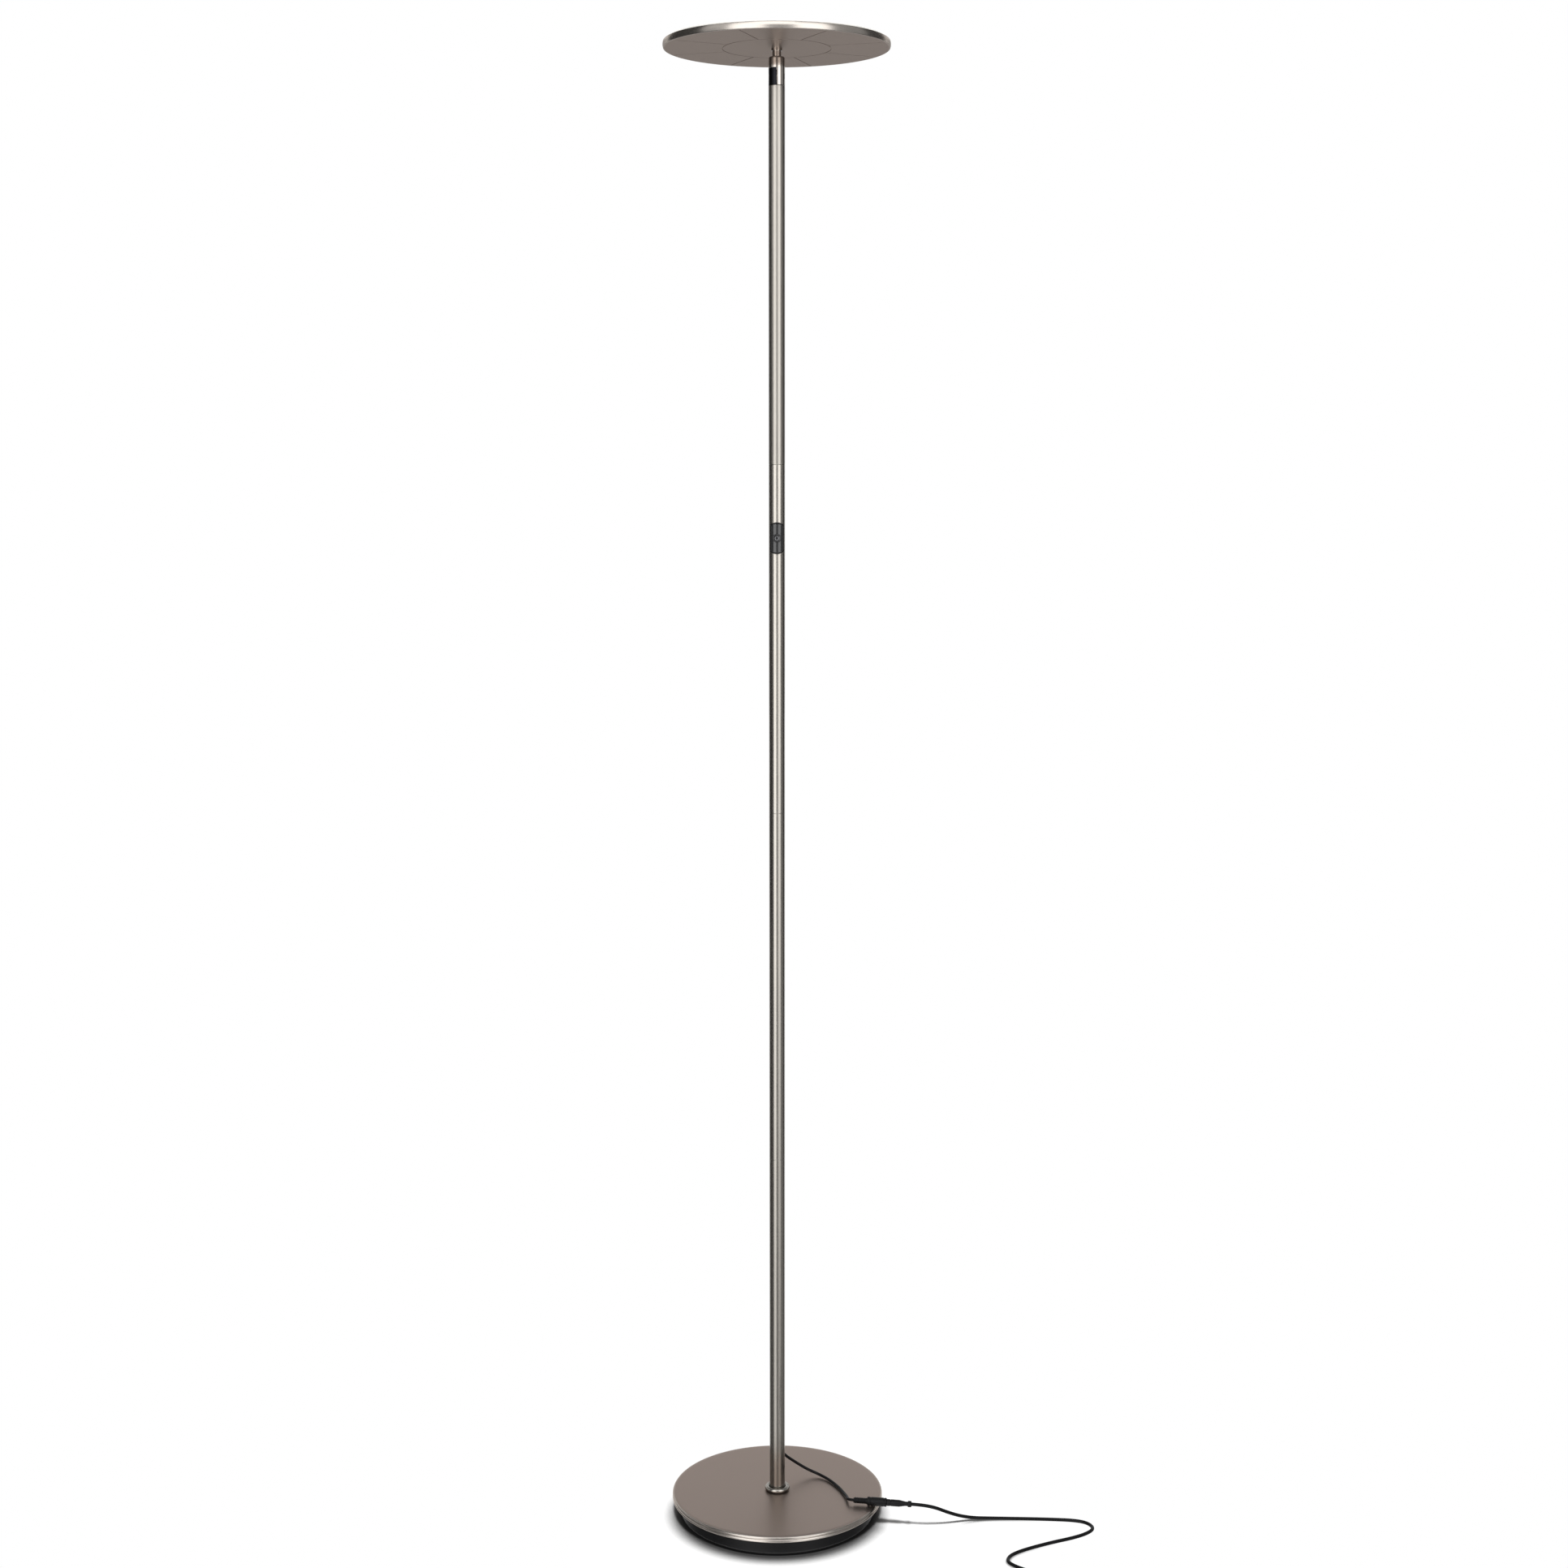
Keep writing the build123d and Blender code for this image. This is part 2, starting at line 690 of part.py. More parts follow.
# Upper knuckle: the right half of the half-lap, the round body, the neck and its threaded spigot
ring_radius = journal_radius + ring_overhang
chamber_start = journal_end - 2 * ring_thickness - slip_fit
head_channel, _ = tube_along(
    (
        (lug_face, 0, pivot_z),
        (wire_side_right, 0, pivot_z),
        (0, 0, swivel_top_z),
        (0, 0, spigot_top_z + slip_fit),
    ),
    (wire_tight_radius, wire_bend_radius),
    wire_channel,
)
with BuildPart() as upper_knuckle:
    with BuildSketch(Plane.XY.offset(pivot_z - lug_radius)):
        Circle(pole_radius)
        with Locations((lug_face - pole_radius, 0)):
            Rectangle(pole_diameter, pole_diameter, mode=Mode.SUBTRACT)
    extrude(amount=swivel_bottom_z - pivot_z + lug_radius)
    with BuildSketch(Plane.YZ):
        with Locations((0, pivot_z)):
            Circle(lug_radius)
        with Locations((0, pivot_z + lug_radius)):
            Rectangle(pole_diameter, 2 * lug_radius)
        with Locations((-lug_radius / 2, pivot_z - lug_radius / 2)):
            Rectangle(lug_radius, lug_radius)
    extrude(amount=pole_diameter, both=True, mode=Mode.INTERSECT)
    with BuildSketch(Plane.XY.offset(swivel_bottom_z)):
        Circle(pole_radius)
    extrude(amount=swivel_body_height)
    fillet(upper_knuckle.faces().sort_by(Axis.Z)[-1].edges(), radius=shoulder_round)
    with BuildSketch(Plane.XY.offset(swivel_top_z)):
        Circle(neck_diameter / 2)
    extrude(amount=head_bottom_z - swivel_top_z)
    with BuildSketch(Plane.XY.offset(head_bottom_z)):
        Circle(spigot_diameter / 2)
    extrude(amount=spigot_top_z - head_bottom_z)
    with BuildSketch(Plane.YZ.offset(-lug_face)):
        with Locations((0, pivot_z)):
            Circle(journal_radius + thread_fit)
    extrude(amount=lug_face + chamber_start, mode=Mode.SUBTRACT)
    with BuildSketch(Plane.YZ.offset(chamber_start)):
        with Locations((0, pivot_z)):
            Circle(ring_radius + ring_chamber_clearance)
    extrude(amount=cap_inset - chamber_start, mode=Mode.SUBTRACT)
    with BuildSketch(Plane.YZ.offset(cap_inset)):
        with Locations((0, pivot_z)):
            Circle(cap_diameter / 2 + thread_fit)
    extrude(amount=pole_radius, mode=Mode.SUBTRACT)
    add(head_channel, mode=Mode.SUBTRACT)
upper_knuckle.part.label = "upper_knuckle"
export_step(upper_knuckle.part, "parts/upper_knuckle.step")

# Friction washer between the two halves, on the journal
with BuildPart() as friction_washer:
    with BuildSketch(Plane.YZ.offset(-lug_face)):
        with Locations((0, pivot_z)):
            Circle(lug_radius - friction_washer_margin)
            Circle(journal_radius + slip_fit, mode=Mode.SUBTRACT)
    extrude(amount=friction_washer_thickness)
friction_washer.part.label = "friction_washer"
export_step(friction_washer.part, "parts/friction_washer.step")

# Retaining ring in the journal's groove
with BuildPart() as pivot_ring:
    with BuildSketch(Plane.YZ.offset(journal_end - 2 * ring_thickness + thread_fit)):
        with Locations((0, pivot_z)):
            Circle(ring_radius)
            Circle(journal_radius - journal_groove_depth + thread_fit, mode=Mode.SUBTRACT)
    extrude(amount=ring_thickness)
pivot_ring.part.label = "pivot_ring"
export_step(pivot_ring.part, "parts/pivot_ring.step")

# Caps that close the two ends of the pivot
with BuildPart() as pivot_cap_left:
    with BuildSketch(Plane.YZ.offset(-cap_inset)):
        with Locations((0, pivot_z)):
            Circle(cap_diameter / 2)
    extrude(amount=-cap_thickness)
pivot_cap_left.part.label = "pivot_cap_left"
export_step(pivot_cap_left.part, "parts/pivot_cap_left.step")

with BuildPart() as pivot_cap_right:
    with BuildSketch(Plane.YZ.offset(cap_inset)):
        with Locations((0, pivot_z)):
            Circle(cap_diameter / 2)
    extrude(amount=cap_thickness)
pivot_cap_right.part.label = "pivot_cap_right"
export_step(pivot_cap_right.part, "parts/pivot_cap_right.step")

# Collar between the neck and the head
with BuildPart() as neck_collar:
    with BuildSketch(Plane.XY.offset(neck_collar_z)):
        Circle(neck_diameter / 2 + thread_fit + neck_collar_width)
        Circle(neck_diameter / 2 + thread_fit, mode=Mode.SUBTRACT)
    extrude(amount=neck_collar_height)
neck_collar.part.label = "neck_collar"
export_step(neck_collar.part, "parts/neck_collar.step")

# Head housing: a flat pan with a crowned rim, and scored lines under it
with BuildPart() as head_housing:
    with BuildSketch(Plane.XZ):
        with BuildLine():
            Polyline(
                (head_radius - rim_crown, rim_top_z),
                (rim_inner_radius, rim_top_z),
                (rim_inner_radius, ledge_z),
                (rim_inner_radius - ledge_width, ledge_z),
                (rim_inner_radius - ledge_width, plate_top_z),
                (spigot_diameter / 2 + slip_fit, plate_top_z),
                (spigot_diameter / 2 + slip_fit, head_bottom_z),
                (head_radius - rim_crown, head_bottom_z),
            )
            ThreePointArc(
                (head_radius - rim_crown, head_bottom_z),
                (head_radius, head_bottom_z + rim_height / 2),
                (head_radius - rim_crown, rim_top_z),
            )
        make_face()
    revolve(axis=Axis.Z)
    rim_edges = head_housing.edges().filter_by(GeomType.CIRCLE).sort_by(SortBy.RADIUS)[-2:]
    fillet(rim_edges, radius=rim_edge_round)
    with BuildSketch(Plane.XY.offset(head_bottom_z)):
        Circle(groove_ring_radius + groove_width / 2)
        Circle(groove_ring_radius - groove_width / 2, mode=Mode.SUBTRACT)
        groove_end_radius = head_radius - rim_crown - groove_end_margin
        with PolarLocations(
            (groove_ring_radius + groove_end_radius) / 2, groove_count, start_angle=groove_first_angle
        ):
            Rectangle(groove_end_radius - groove_ring_radius, groove_width)
    extrude(amount=groove_depth, mode=Mode.SUBTRACT)
    with BuildSketch(Plane.XY.offset(plate_top_z)):
        with PolarLocations(board_screw_ring_radius, board_screw_count):
            Circle(board_screw_diameter / 2 + thread_fit)
    extrude(amount=-board_screw_bite - slip_fit, mode=Mode.SUBTRACT)
head_housing.part.label = "head_housing"
export_step(head_housing.part, "parts/head_housing.step")

# Opal diffuser: a shallow cap that sits on the ledge and stands proud of the rim
diffuser_radius = rim_inner_radius - diffuser_gap
diffuser_top_z = rim_top_z + diffuser_proud
with BuildPart() as diffuser:
    with BuildSketch(Plane.XY.offset(ledge_z)):
        Circle(diffuser_radius)
    extrude(amount=diffuser_top_z - ledge_z)
    fillet(diffuser.edges().sort_by(Axis.Z)[-1], radius=diffuser_round)
    with BuildSketch(Plane.XY.offset(ledge_z)):
        Circle(diffuser_radius - diffuser_wall)
    extrude(amount=diffuser_top_z - diffuser_wall - ledge_z, mode=Mode.SUBTRACT)
diffuser.part.label = "diffuser"
export_step(diffuser.part, "parts/diffuser.step")

# Board of light-emitting diodes, with its screws
with BuildPart() as led_board:
    with BuildSketch(Plane.XY.offset(plate_top_z)):
        Circle(led_board_radius)
        Circle(led_board_hole_radius, mode=Mode.SUBTRACT)
        with PolarLocations(board_screw_ring_radius, board_screw_count):
            Circle(board_screw_diameter / 2 + slip_fit, mode=Mode.SUBTRACT)
    extrude(amount=board_thickness)
led_board.part.label = "led_board"
export_step(led_board.part, "parts/led_board.step")

with BuildPart() as led_chips:
    with BuildSketch(Plane.XY.offset(led_board_top_z)):
        for ring in range(led_ring_count):
            led_ring_radius = led_outer_ring_radius - ring * led_ring_spacing
            leds_in_ring = round(2 * math.pi * led_ring_radius / led_spacing)
            with PolarLocations(led_ring_radius, leds_in_ring):
                Rectangle(led_width, led_length)
    extrude(amount=led_height)
led_chips.part.label = "led_chips"
export_step(led_chips.part, "parts/led_chips.step")

with BuildPart() as led_board_screws:
    with BuildSketch(Plane.XY.offset(led_board_top_z)):
        with PolarLocations(board_screw_ring_radius, board_screw_count):
            Circle(board_screw_head_diameter / 2)
    extrude(amount=board_screw_head_height)
    with BuildSketch(Plane.XY.offset(led_board_top_z)):
        with PolarLocations(board_screw_ring_radius, board_screw_count):
            Circle(board_screw_diameter / 2)
    extrude(amount=-board_thickness - board_screw_bite)
led_board_screws.part.label = "led_board_screws"
export_step(led_board_screws.part, "parts/led_board_screws.step")

# Nut on the spigot, inside the head
with BuildPart() as neck_nut:
    with BuildSketch(Plane.XY.offset(plate_top_z)):
        RegularPolygon(neck_nut_across_flats / 2, 6, major_radius=False)
        Circle(spigot_diameter / 2 + thread_fit, mode=Mode.SUBTRACT)
    extrude(amount=neck_nut_height)
neck_nut.part.label = "neck_nut"
export_step(neck_nut.part, "parts/neck_nut.step")

# Wires: lead to switch, switch to knuckle, and knuckle to head, parted at the knuckle's mid plane
board_back_y = -(board_front - board_thickness)
wire_lane_y = board_back_y + board_wire_standoff
lower_wire_end_z = switch_z - board_wire_offset
upper_wire_start_z = switch_z + board_wire_offset
pole_wire_lower, _ = tube_along(
    (
        (0, lead_inner_end, cord_exit_z),
        (0, 0, cord_exit_z),
        (0, 0, lower_wire_end_z - 2 * wire_lane_shift),
        (0, wire_lane_y, lower_wire_end_z - wire_lane_shift),
        (0, wire_lane_y, lower_wire_end_z),
        (0, board_back_y, lower_wire_end_z),
    ),
    (wire_bend_radius, wire_bend_radius, wire_bend_radius, wire_tight_radius),
    wire_diameter,
)
pole_wire_lower.label = "pole_wire_lower"
export_step(pole_wire_lower, "parts/pole_wire_lower.step")

pole_wire_upper, _ = tube_along(
    (
        (0, board_back_y, upper_wire_start_z),
        (0, wire_lane_y, upper_wire_start_z),
        (0, wire_lane_y, upper_wire_start_z + wire_lane_shift),
        (0, 0, upper_wire_start_z + 2 * wire_lane_shift),
    )
    + upper_wire_turns
    + ((-wire_split_gap / 2, 0, pivot_z),),
    (wire_tight_radius,) + 4 * (wire_bend_radius,) + (wire_tight_radius,),
    wire_diameter,
)
pole_wire_upper.label = "pole_wire_upper"
export_step(pole_wire_upper, "parts/pole_wire_upper.step")

wire_run_z = spigot_top_z + wire_rise_above_spigot
wire_pad_radius = led_board_hole_radius + wire_pad_margin
head_wire, _ = tube_along(
    (
        (wire_split_gap / 2, 0, pivot_z),
        (wire_side_right, 0, pivot_z),
        (0, 0, swivel_top_z),
        (0, 0, wire_run_z),
        (0, wire_pad_radius, wire_run_z),
        (0, wire_pad_radius, led_board_top_z),
    ),
    (wire_tight_radius, wire_bend_radius, wire_tight_radius, wire_tight_radius),
    wire_diameter,
)
head_wire.label = "head_wire"
export_step(head_wire, "parts/head_wire.step")

# Grommet in the back of the bottom tube
with BuildPart() as cord_grommet:
    with BuildSketch(rear_plane.offset(tube_bore_radius - grommet_depth)):
        with Locations((0, cord_exit_z)):
            Circle(grommet_radius)
    extrude(amount=grommet_depth + tube_wall + grommet_proud)
    with BuildSketch(Plane.XY.offset(cord_exit_z - 2 * grommet_radius)):
        Circle(pole_radius + thread_fit)
        Circle(tube_bore_radius - thread_fit, mode=Mode.SUBTRACT)
    extrude(amount=4 * grommet_radius, mode=Mode.SUBTRACT)
    with BuildSketch(rear_plane.offset(tube_bore_radius - grommet_depth)):
        with Locations((0, cord_exit_z)):
            Circle(cord_exit_radius)
    extrude(amount=grommet_depth + tube_wall)
    with BuildSketch(rear_plane):
        with Locations((0, cord_exit_z)):
            Circle(lead_diameter / 2 + thread_fit)
    extrude(amount=pole_diameter, mode=Mode.SUBTRACT)
cord_grommet.part.label = "cord_grommet"
export_step(cord_grommet.part, "parts/cord_grommet.step")

# In-line connector: lengths run from its boot along its own axis
connector_z = base_height + connector_rest_gap + jack_diameter / 2
connector_start = Vector(connector_x, connector_y, connector_z)
connector_axis = Vector(1, 0, 0).rotate(Axis.Z, connector_heading)
connector_joint = jack_boot_length + jack_length
connector_length = connector_joint + plug_length + plug_taper_length + plug_neck_length + plug_ring_length


def connector_plane(distance):
    """The plane square to the connector at a distance from its start."""
    return Plane(origin=connector_start + connector_axis * distance, z_dir=connector_axis)


with BuildPart() as dc_jack:
    with BuildSketch(connector_plane(jack_boot_length)):
        Circle(jack_diameter / 2)
    extrude(amount=jack_length)
    fillet(dc_jack.edges().filter_by(GeomType.CIRCLE), radius=jack_round)
    with BuildSketch(connector_plane(0)):
        Circle(jack_boot_diameter / 2)
    extrude(amount=jack_boot_length)
    with BuildSketch(connector_plane(connector_joint)):
        Circle(barrel_diameter / 2 + slip_fit)
        Circle(barrel_bore / 2 - slip_fit, mode=Mode.SUBTRACT)
    extrude(amount=-barrel_length - jack_socket_spare, mode=Mode.SUBTRACT)
dc_jack.part.label = "dc_jack"
export_step(dc_jack.part, "parts/dc_jack.step")

with BuildPart() as dc_plug:
    with BuildSketch(connector_plane(connector_joint)):
        Circle(plug_diameter / 2)
    extrude(amount=plug_length)
    plug_taper_start = connector_joint + plug_length
    with BuildSketch(connector_plane(plug_taper_start)):
        Circle(plug_diameter / 2)
    with BuildSketch(connector_plane(plug_taper_start + plug_taper_length)):
        Circle(plug_neck_diameter / 2)
    loft()
    with BuildSketch(connector_plane(plug_taper_start + plug_taper_length)):
        Circle(plug_neck_diameter / 2)
    extrude(amount=plug_neck_length + plug_ring_length)
    with BuildSketch(connector_plane(connector_length - plug_ring_length)):
        Circle(plug_ring_diameter / 2)
    extrude(amount=plug_ring_length)
dc_plug.part.label = "dc_plug"
export_step(dc_plug.part, "parts/dc_plug.step")

with BuildPart() as dc_plug_barrel:
    with BuildSketch(connector_plane(connector_joint)):
        Circle(barrel_diameter / 2)
        Circle(barrel_bore / 2, mode=Mode.SUBTRACT)
    extrude(amount=-barrel_length)
dc_plug_barrel.part.label = "dc_plug_barrel"
export_step(dc_plug_barrel.part, "parts/dc_plug_barrel.step")


def cord_bends(points):
    """The radius of each bend, as large as its two runs allow."""
    spots = [Vector(point) for point in points]
    radii = []
    for before, corner, after in zip(spots, spots[1:], spots[2:]):
        run_in = corner - before
        run_out = after - corner
        half_turn = math.radians(run_in.get_angle(run_out)) / 2
        radii.append(cord_bend_share * min(run_in.length, run_out.length) / math.tan(half_turn))
    return radii


def report_cord(name, part, length, diameter, radii):
    """Print a cord's length, how its volume compares with its section, and its tightest bends."""
    section = math.pi * diameter**2 / 4
    share = part.volume / (section * length)
    bends = ", ".join(f"{radius / diameter:.1f}" for radius in radii)
    print(f"{name}: length {length:.1f}, volume share {share:.4f}, radii in diameters {bends}")


# Lead: out of the back of the pole, down on to the cover and across it to the connector
lead_run_in = connector_start - connector_axis * lead_straight
lead_route = (
    (0, lead_inner_end, cord_exit_z),
    (0, 20.0, cord_exit_z),
    (3.5, 27.0, 66.5),
    (10.5, 31.5, 54.0),
    (21.0, 34.5, 44.5),
    (34.0, 35.0, 36.0),
    (48.0, 31.5, 30.8),
    (59.5, 18.5, 30.0),
    (68.5, 1.5, 30.0),
    (74.5, -14.5, 30.2),
    (78.0, -28.0, 31.4),
    tuple(lead_run_in),
    tuple(connector_start),
)
lead_radii = cord_bends(lead_route)
lead_cord, lead_length = tube_along(lead_route, lead_radii, lead_diameter)
report_cord("lead_cord", lead_cord, lead_length, lead_diameter, lead_radii)
lead_cord.label = "lead_cord"
export_step(lead_cord, "parts/lead_cord.step")

# Coil of spare cord: it spirals in on the floor layer, climbs a layer in the half turn where it
# reverses, and spirals out again on top
cord_radius = cord_diameter / 2
coil_middle = coil_quarter_turns / 2
coil_lower_z = cord_radius + coil_lift
coil_upper_z = coil_lower_z + coil_pitch


def coil_node(quarter):
    """A point of the coil's centre line, and its direction there, counted in quarter turns."""
    from_middle = quarter - coil_middle
    angle = math.radians(coil_start_angle) - quarter * math.pi / 2
    radius = coil_inner_radius + coil_pitch * abs(from_middle) / 4
    radius_rate = math.copysign(coil_pitch / 4, from_middle)
    climb = min(max((from_middle + 1) / 2, 0), 1)
    height = coil_lower_z + (coil_upper_z - coil_lower_z) * climb
    height_rate = (coil_upper_z - coil_lower_z) / 2 if 0 < climb < 1 else 0
    spot = Vector(
        coil_x + radius * math.cos(angle),
        coil_y + radius * math.sin(angle),
        height,
    )
    swing = radius * math.pi / 2
    direction = Vector(
        radius_rate * math.cos(angle) + swing * math.sin(angle),
        radius_rate * math.sin(angle) - swing * math.cos(angle),
        height_rate,
    )
    return spot, direction.normalized()


def biarc(start, start_direction, end, end_direction):
    """Two tangent arcs from one point and direction to another."""
    chord = end - start
    both = start_direction + end_direction
    square = 2 * (start_direction.dot(end_direction) - 1)
    middle = -2 * chord.dot(both)
    reach = (-middle - math.sqrt(middle**2 - 4 * square * chord.dot(chord))) / (2 * square)
    first = start + start_direction * reach
    second = end - end_direction * reach
    joint = (first + second) * 0.5
    TangentArc(start, joint, tangent=start_direction)
    TangentArc(joint, end, tangent=second - first)


coil_nodes = [coil_node(quarter) for quarter in range(coil_quarter_turns + 1)]
coil_start, coil_start_direction = coil_nodes[0]
coil_end, coil_end_direction = coil_nodes[-1]
coil_entry = coil_start - coil_start_direction * cord_diameter
coil_exit = coil_end + coil_end_direction * cord_diameter
with BuildPart() as cord_coil:
    with BuildLine() as coil_line:
        Line(coil_entry, coil_start)
        for (spot, direction), (next_spot, next_direction) in zip(coil_nodes, coil_nodes[1:]):
            biarc(spot, direction, next_spot, next_direction)
        Line(coil_end, coil_exit)
    with BuildSketch(Plane(origin=coil_entry, z_dir=coil_start_direction)):
        Circle(cord_radius)
    sweep()
cord_coil.part.label = "cord_coil"
export_step(cord_coil.part, "parts/cord_coil.step")

coil_wire = coil_line.wires()[0]
coil_length = coil_wire.length
coil_steps = int(coil_length / cord_radius)
coil_samples = [coil_wire.position_at(step / coil_steps) for step in range(coil_steps)]
steps_in_half_turn = int(math.pi * coil_inner_radius / cord_radius)
least_gap = min(
    (first - second).length
    for index, first in enumerate(coil_samples)
    for second in coil_samples[index + steps_in_half_turn:]
) - cord_diameter
print(f"cord_coil: length {coil_length:.1f}, least gap to itself {least_gap:.2f}")
report_cord("cord_coil", cord_coil.part, coil_length, cord_diameter, ())

# Cord: from the connector down to the floor, out to the right, back in a loose bend and forward
power_cord_start = connector_start + connector_axis * connector_length
power_cord_run_out = power_cord_start + connector_axis * cord_straight
power_cord_route = (
    tuple(power_cord_start),
    tuple(power_cord_run_out),
    (174.5, -47.5, 28.5),
    (188.0, -39.5, 19.5),
    (202.0, -29.5, 10.5),
    (218.0, -20.6, 3.6),
    (238.0, -18.4, 2.1),
    (262.0, -18.8, cord_radius),
    (288.0, -19.9, cord_radius),
    (312.0, -21.4, cord_radius),
    (331.0, -23.4, cord_radius),
    (345.2, -29.0, cord_radius),
    (351.2, -42.6, cord_radius),
    (342.2, -54.8, cord_radius),
    (325.0, -65.6, cord_radius),
    (302.0, -75.6, cord_radius),
    (281.0, -86.4, cord_radius),
    (264.0, -96.4, cord_radius),
    (251.4, -107.0, cord_radius),
    (247.0, -120.4, cord_radius),
    (255.2, -131.6, cord_radius),
    (269.0, -142.2, cord_radius),
    (284.0, -155.2, 2.2),
    tuple(coil_entry - coil_start_direction * cord_straight),
    tuple(coil_entry),
)
power_cord_radii = cord_bends(power_cord_route)
power_cord, power_cord_length = tube_along(power_cord_route, power_cord_radii, cord_diameter)
report_cord("power_cord", power_cord, power_cord_length, cord_diameter, power_cord_radii)
power_cord.label = "power_cord"
export_step(power_cord, "parts/power_cord.step")

# Tail of the cord, from the coil to the adapter's boot
adapter_boot_tip_x = adapter_x + adapter_boot_length
tail_route = (
    tuple(coil_exit),
    tuple(coil_exit + coil_end_direction * tail_straight_at_coil),
    (286.0, -234.0, 5.6),
    (274.0, -239.0, 4.6),
    (adapter_boot_tip_x + tail_straight_at_boot, adapter_y, adapter_cord_height),
    (adapter_boot_tip_x, adapter_y, adapter_cord_height),
)
tail_radii = cord_bends(tail_route)
power_cord_tail, tail_length = tube_along(tail_route, tail_radii, cord_diameter)
report_cord("power_cord_tail", power_cord_tail, tail_length, cord_diameter, tail_radii)
power_cord_tail.label = "power_cord_tail"
export_step(power_cord_tail, "parts/power_cord_tail.step")
print(f"whole cord: {power_cord_length + coil_length + tail_length:.1f}")

# Tie round one side of the coil
coil_outer_radius = coil_inner_radius + coil_pitch * coil_middle / 4
tie_inner_edge = coil_inner_radius - cord_radius - tie_gap
tie_outer_edge = coil_outer_radius + cord_radius + tie_gap
tie_bottom_z = coil_lift - tie_gap
tie_top_z = coil_upper_z + cord_radius + tie_gap
tie_plane = Plane(
    origin=(coil_x, coil_y, (tie_bottom_z + tie_top_z) / 2),
    x_dir=Vector(1, 0, 0).rotate(Axis.Z, tie_angle),
    z_dir=Vector(0, 1, 0).rotate(Axis.Z, tie_angle),
)
with BuildPart() as cord_tie:
    with BuildSketch(tie_plane):
        with Locations(((tie_inner_edge + tie_outer_edge) / 2, 0)):
            RectangleRounded(
                tie_outer_edge - tie_inner_edge + 2 * tie_thickness,
                tie_top_z - tie_bottom_z + 2 * tie_thickness,
                cord_radius,
            )
            RectangleRounded(
                tie_outer_edge - tie_inner_edge,
                tie_top_z - tie_bottom_z,
                cord_radius - tie_thickness,
                mode=Mode.SUBTRACT,
            )
    extrude(amount=tie_width / 2, both=True)
cord_tie.part.label = "cord_tie"
export_step(cord_tie.part, "parts/cord_tie.step")

# Adapter case in two halves, split at mid height, with slots for the blades and a hole for the boot
adapter_split_z = adapter_height / 2
adapter_far_x = adapter_x - adapter_length
adapter_middle_x = adapter_x - adapter_length / 2
boot_neck_radius = adapter_boot_tip_diameter / 2
with BuildPart() as adapter_case:
    with BuildSketch(Plane.XY):
        with Locations((adapter_middle_x, adapter_y)):
            RectangleRounded(adapter_length, adapter_width, adapter_round)
    extrude(amount=adapter_height)
    fillet(adapter_case.faces().filter_by(Axis.Z).edges(), radius=adapter_edge_round)
    with BuildSketch(Plane.XY.offset(adapter_wall)):
        with Locations((adapter_middle_x, adapter_y)):
            RectangleRounded(
                adapter_length - 2 * adapter_wall,
                adapter_width - 2 * adapter_wall,
                adapter_round - adapter_wall,
            )
    extrude(amount=adapter_height - 2 * adapter_wall, mode=Mode.SUBTRACT)
    with BuildSketch(Plane.YZ.offset(adapter_far_x)):
        with Locations((adapter_y, adapter_split_z)):
            with GridLocations(blade_spacing, 0, 2, 1):
                Rectangle(blade_thickness + 2 * slip_fit, blade_width + 2 * slip_fit)
    extrude(amount=2 * adapter_wall, mode=Mode.SUBTRACT)
    with BuildSketch(Plane.YZ.offset(adapter_x)):
        with Locations((adapter_y, adapter_cord_height)):
            Circle(boot_neck_radius + thread_fit)
    extrude(amount=-2 * adapter_wall, mode=Mode.SUBTRACT)

with BuildPart() as adapter_case_top:
    add(adapter_case.part)
    split(bisect_by=Plane.XY.offset(adapter_split_z), keep=Keep.TOP)
adapter_case_top.part.label = "adapter_case_top"
export_step(adapter_case_top.part, "parts/adapter_case_top.step")

with BuildPart() as adapter_case_bottom:
    add(adapter_case.part)
    split(bisect_by=Plane.XY.offset(adapter_split_z), keep=Keep.BOTTOM)
adapter_case_bottom.part.label = "adapter_case_bottom"
export_step(adapter_case_bottom.part, "parts/adapter_case_bottom.step")

with BuildPart() as adapter_boot:
    with BuildSketch(Plane.YZ.offset(adapter_x)):
        with Locations((adapter_y, adapter_cord_height)):
            Circle(adapter_boot_diameter / 2)
    with BuildSketch(Plane.YZ.offset(adapter_boot_tip_x)):
        with Locations((adapter_y, adapter_cord_height)):
            Circle(adapter_boot_tip_diameter / 2)
    loft()
    with BuildSketch(Plane.YZ.offset(adapter_x)):
        with Locations((adapter_y, adapter_cord_height)):
            Circle(boot_neck_radius)
    extrude(amount=-2 * adapter_wall)
adapter_boot.part.label = "adapter_boot"
export_step(adapter_boot.part, "parts/adapter_boot.step")

with BuildPart() as adapter_blades:
    with BuildSketch(Plane.YZ.offset(adapter_far_x - blade_length)):
        with Locations((adapter_y, adapter_split_z)):
            with GridLocations(blade_spacing, 0, 2, 1):
                Rectangle(blade_thickness, blade_width)
    extrude(amount=blade_length + blade_inner_length)
adapter_blades.part.label = "adapter_blades"
export_step(adapter_blades.part, "parts/adapter_blades.step")

# Board in the adapter, standing on the case floor, with its transformer
with BuildPart() as adapter_board:
    with BuildSketch(Plane.XY.offset(adapter_wall)):
        with Locations((adapter_middle_x, adapter_y)):
            Rectangle(
                adapter_length - 2 * (adapter_wall + adapter_board_margin),
                adapter_width - 2 * (adapter_wall + adapter_board_margin),
            )
    extrude(amount=board_thickness)
adapter_board.part.label = "adapter_board"
export_step(adapter_board.part, "parts/adapter_board.step")

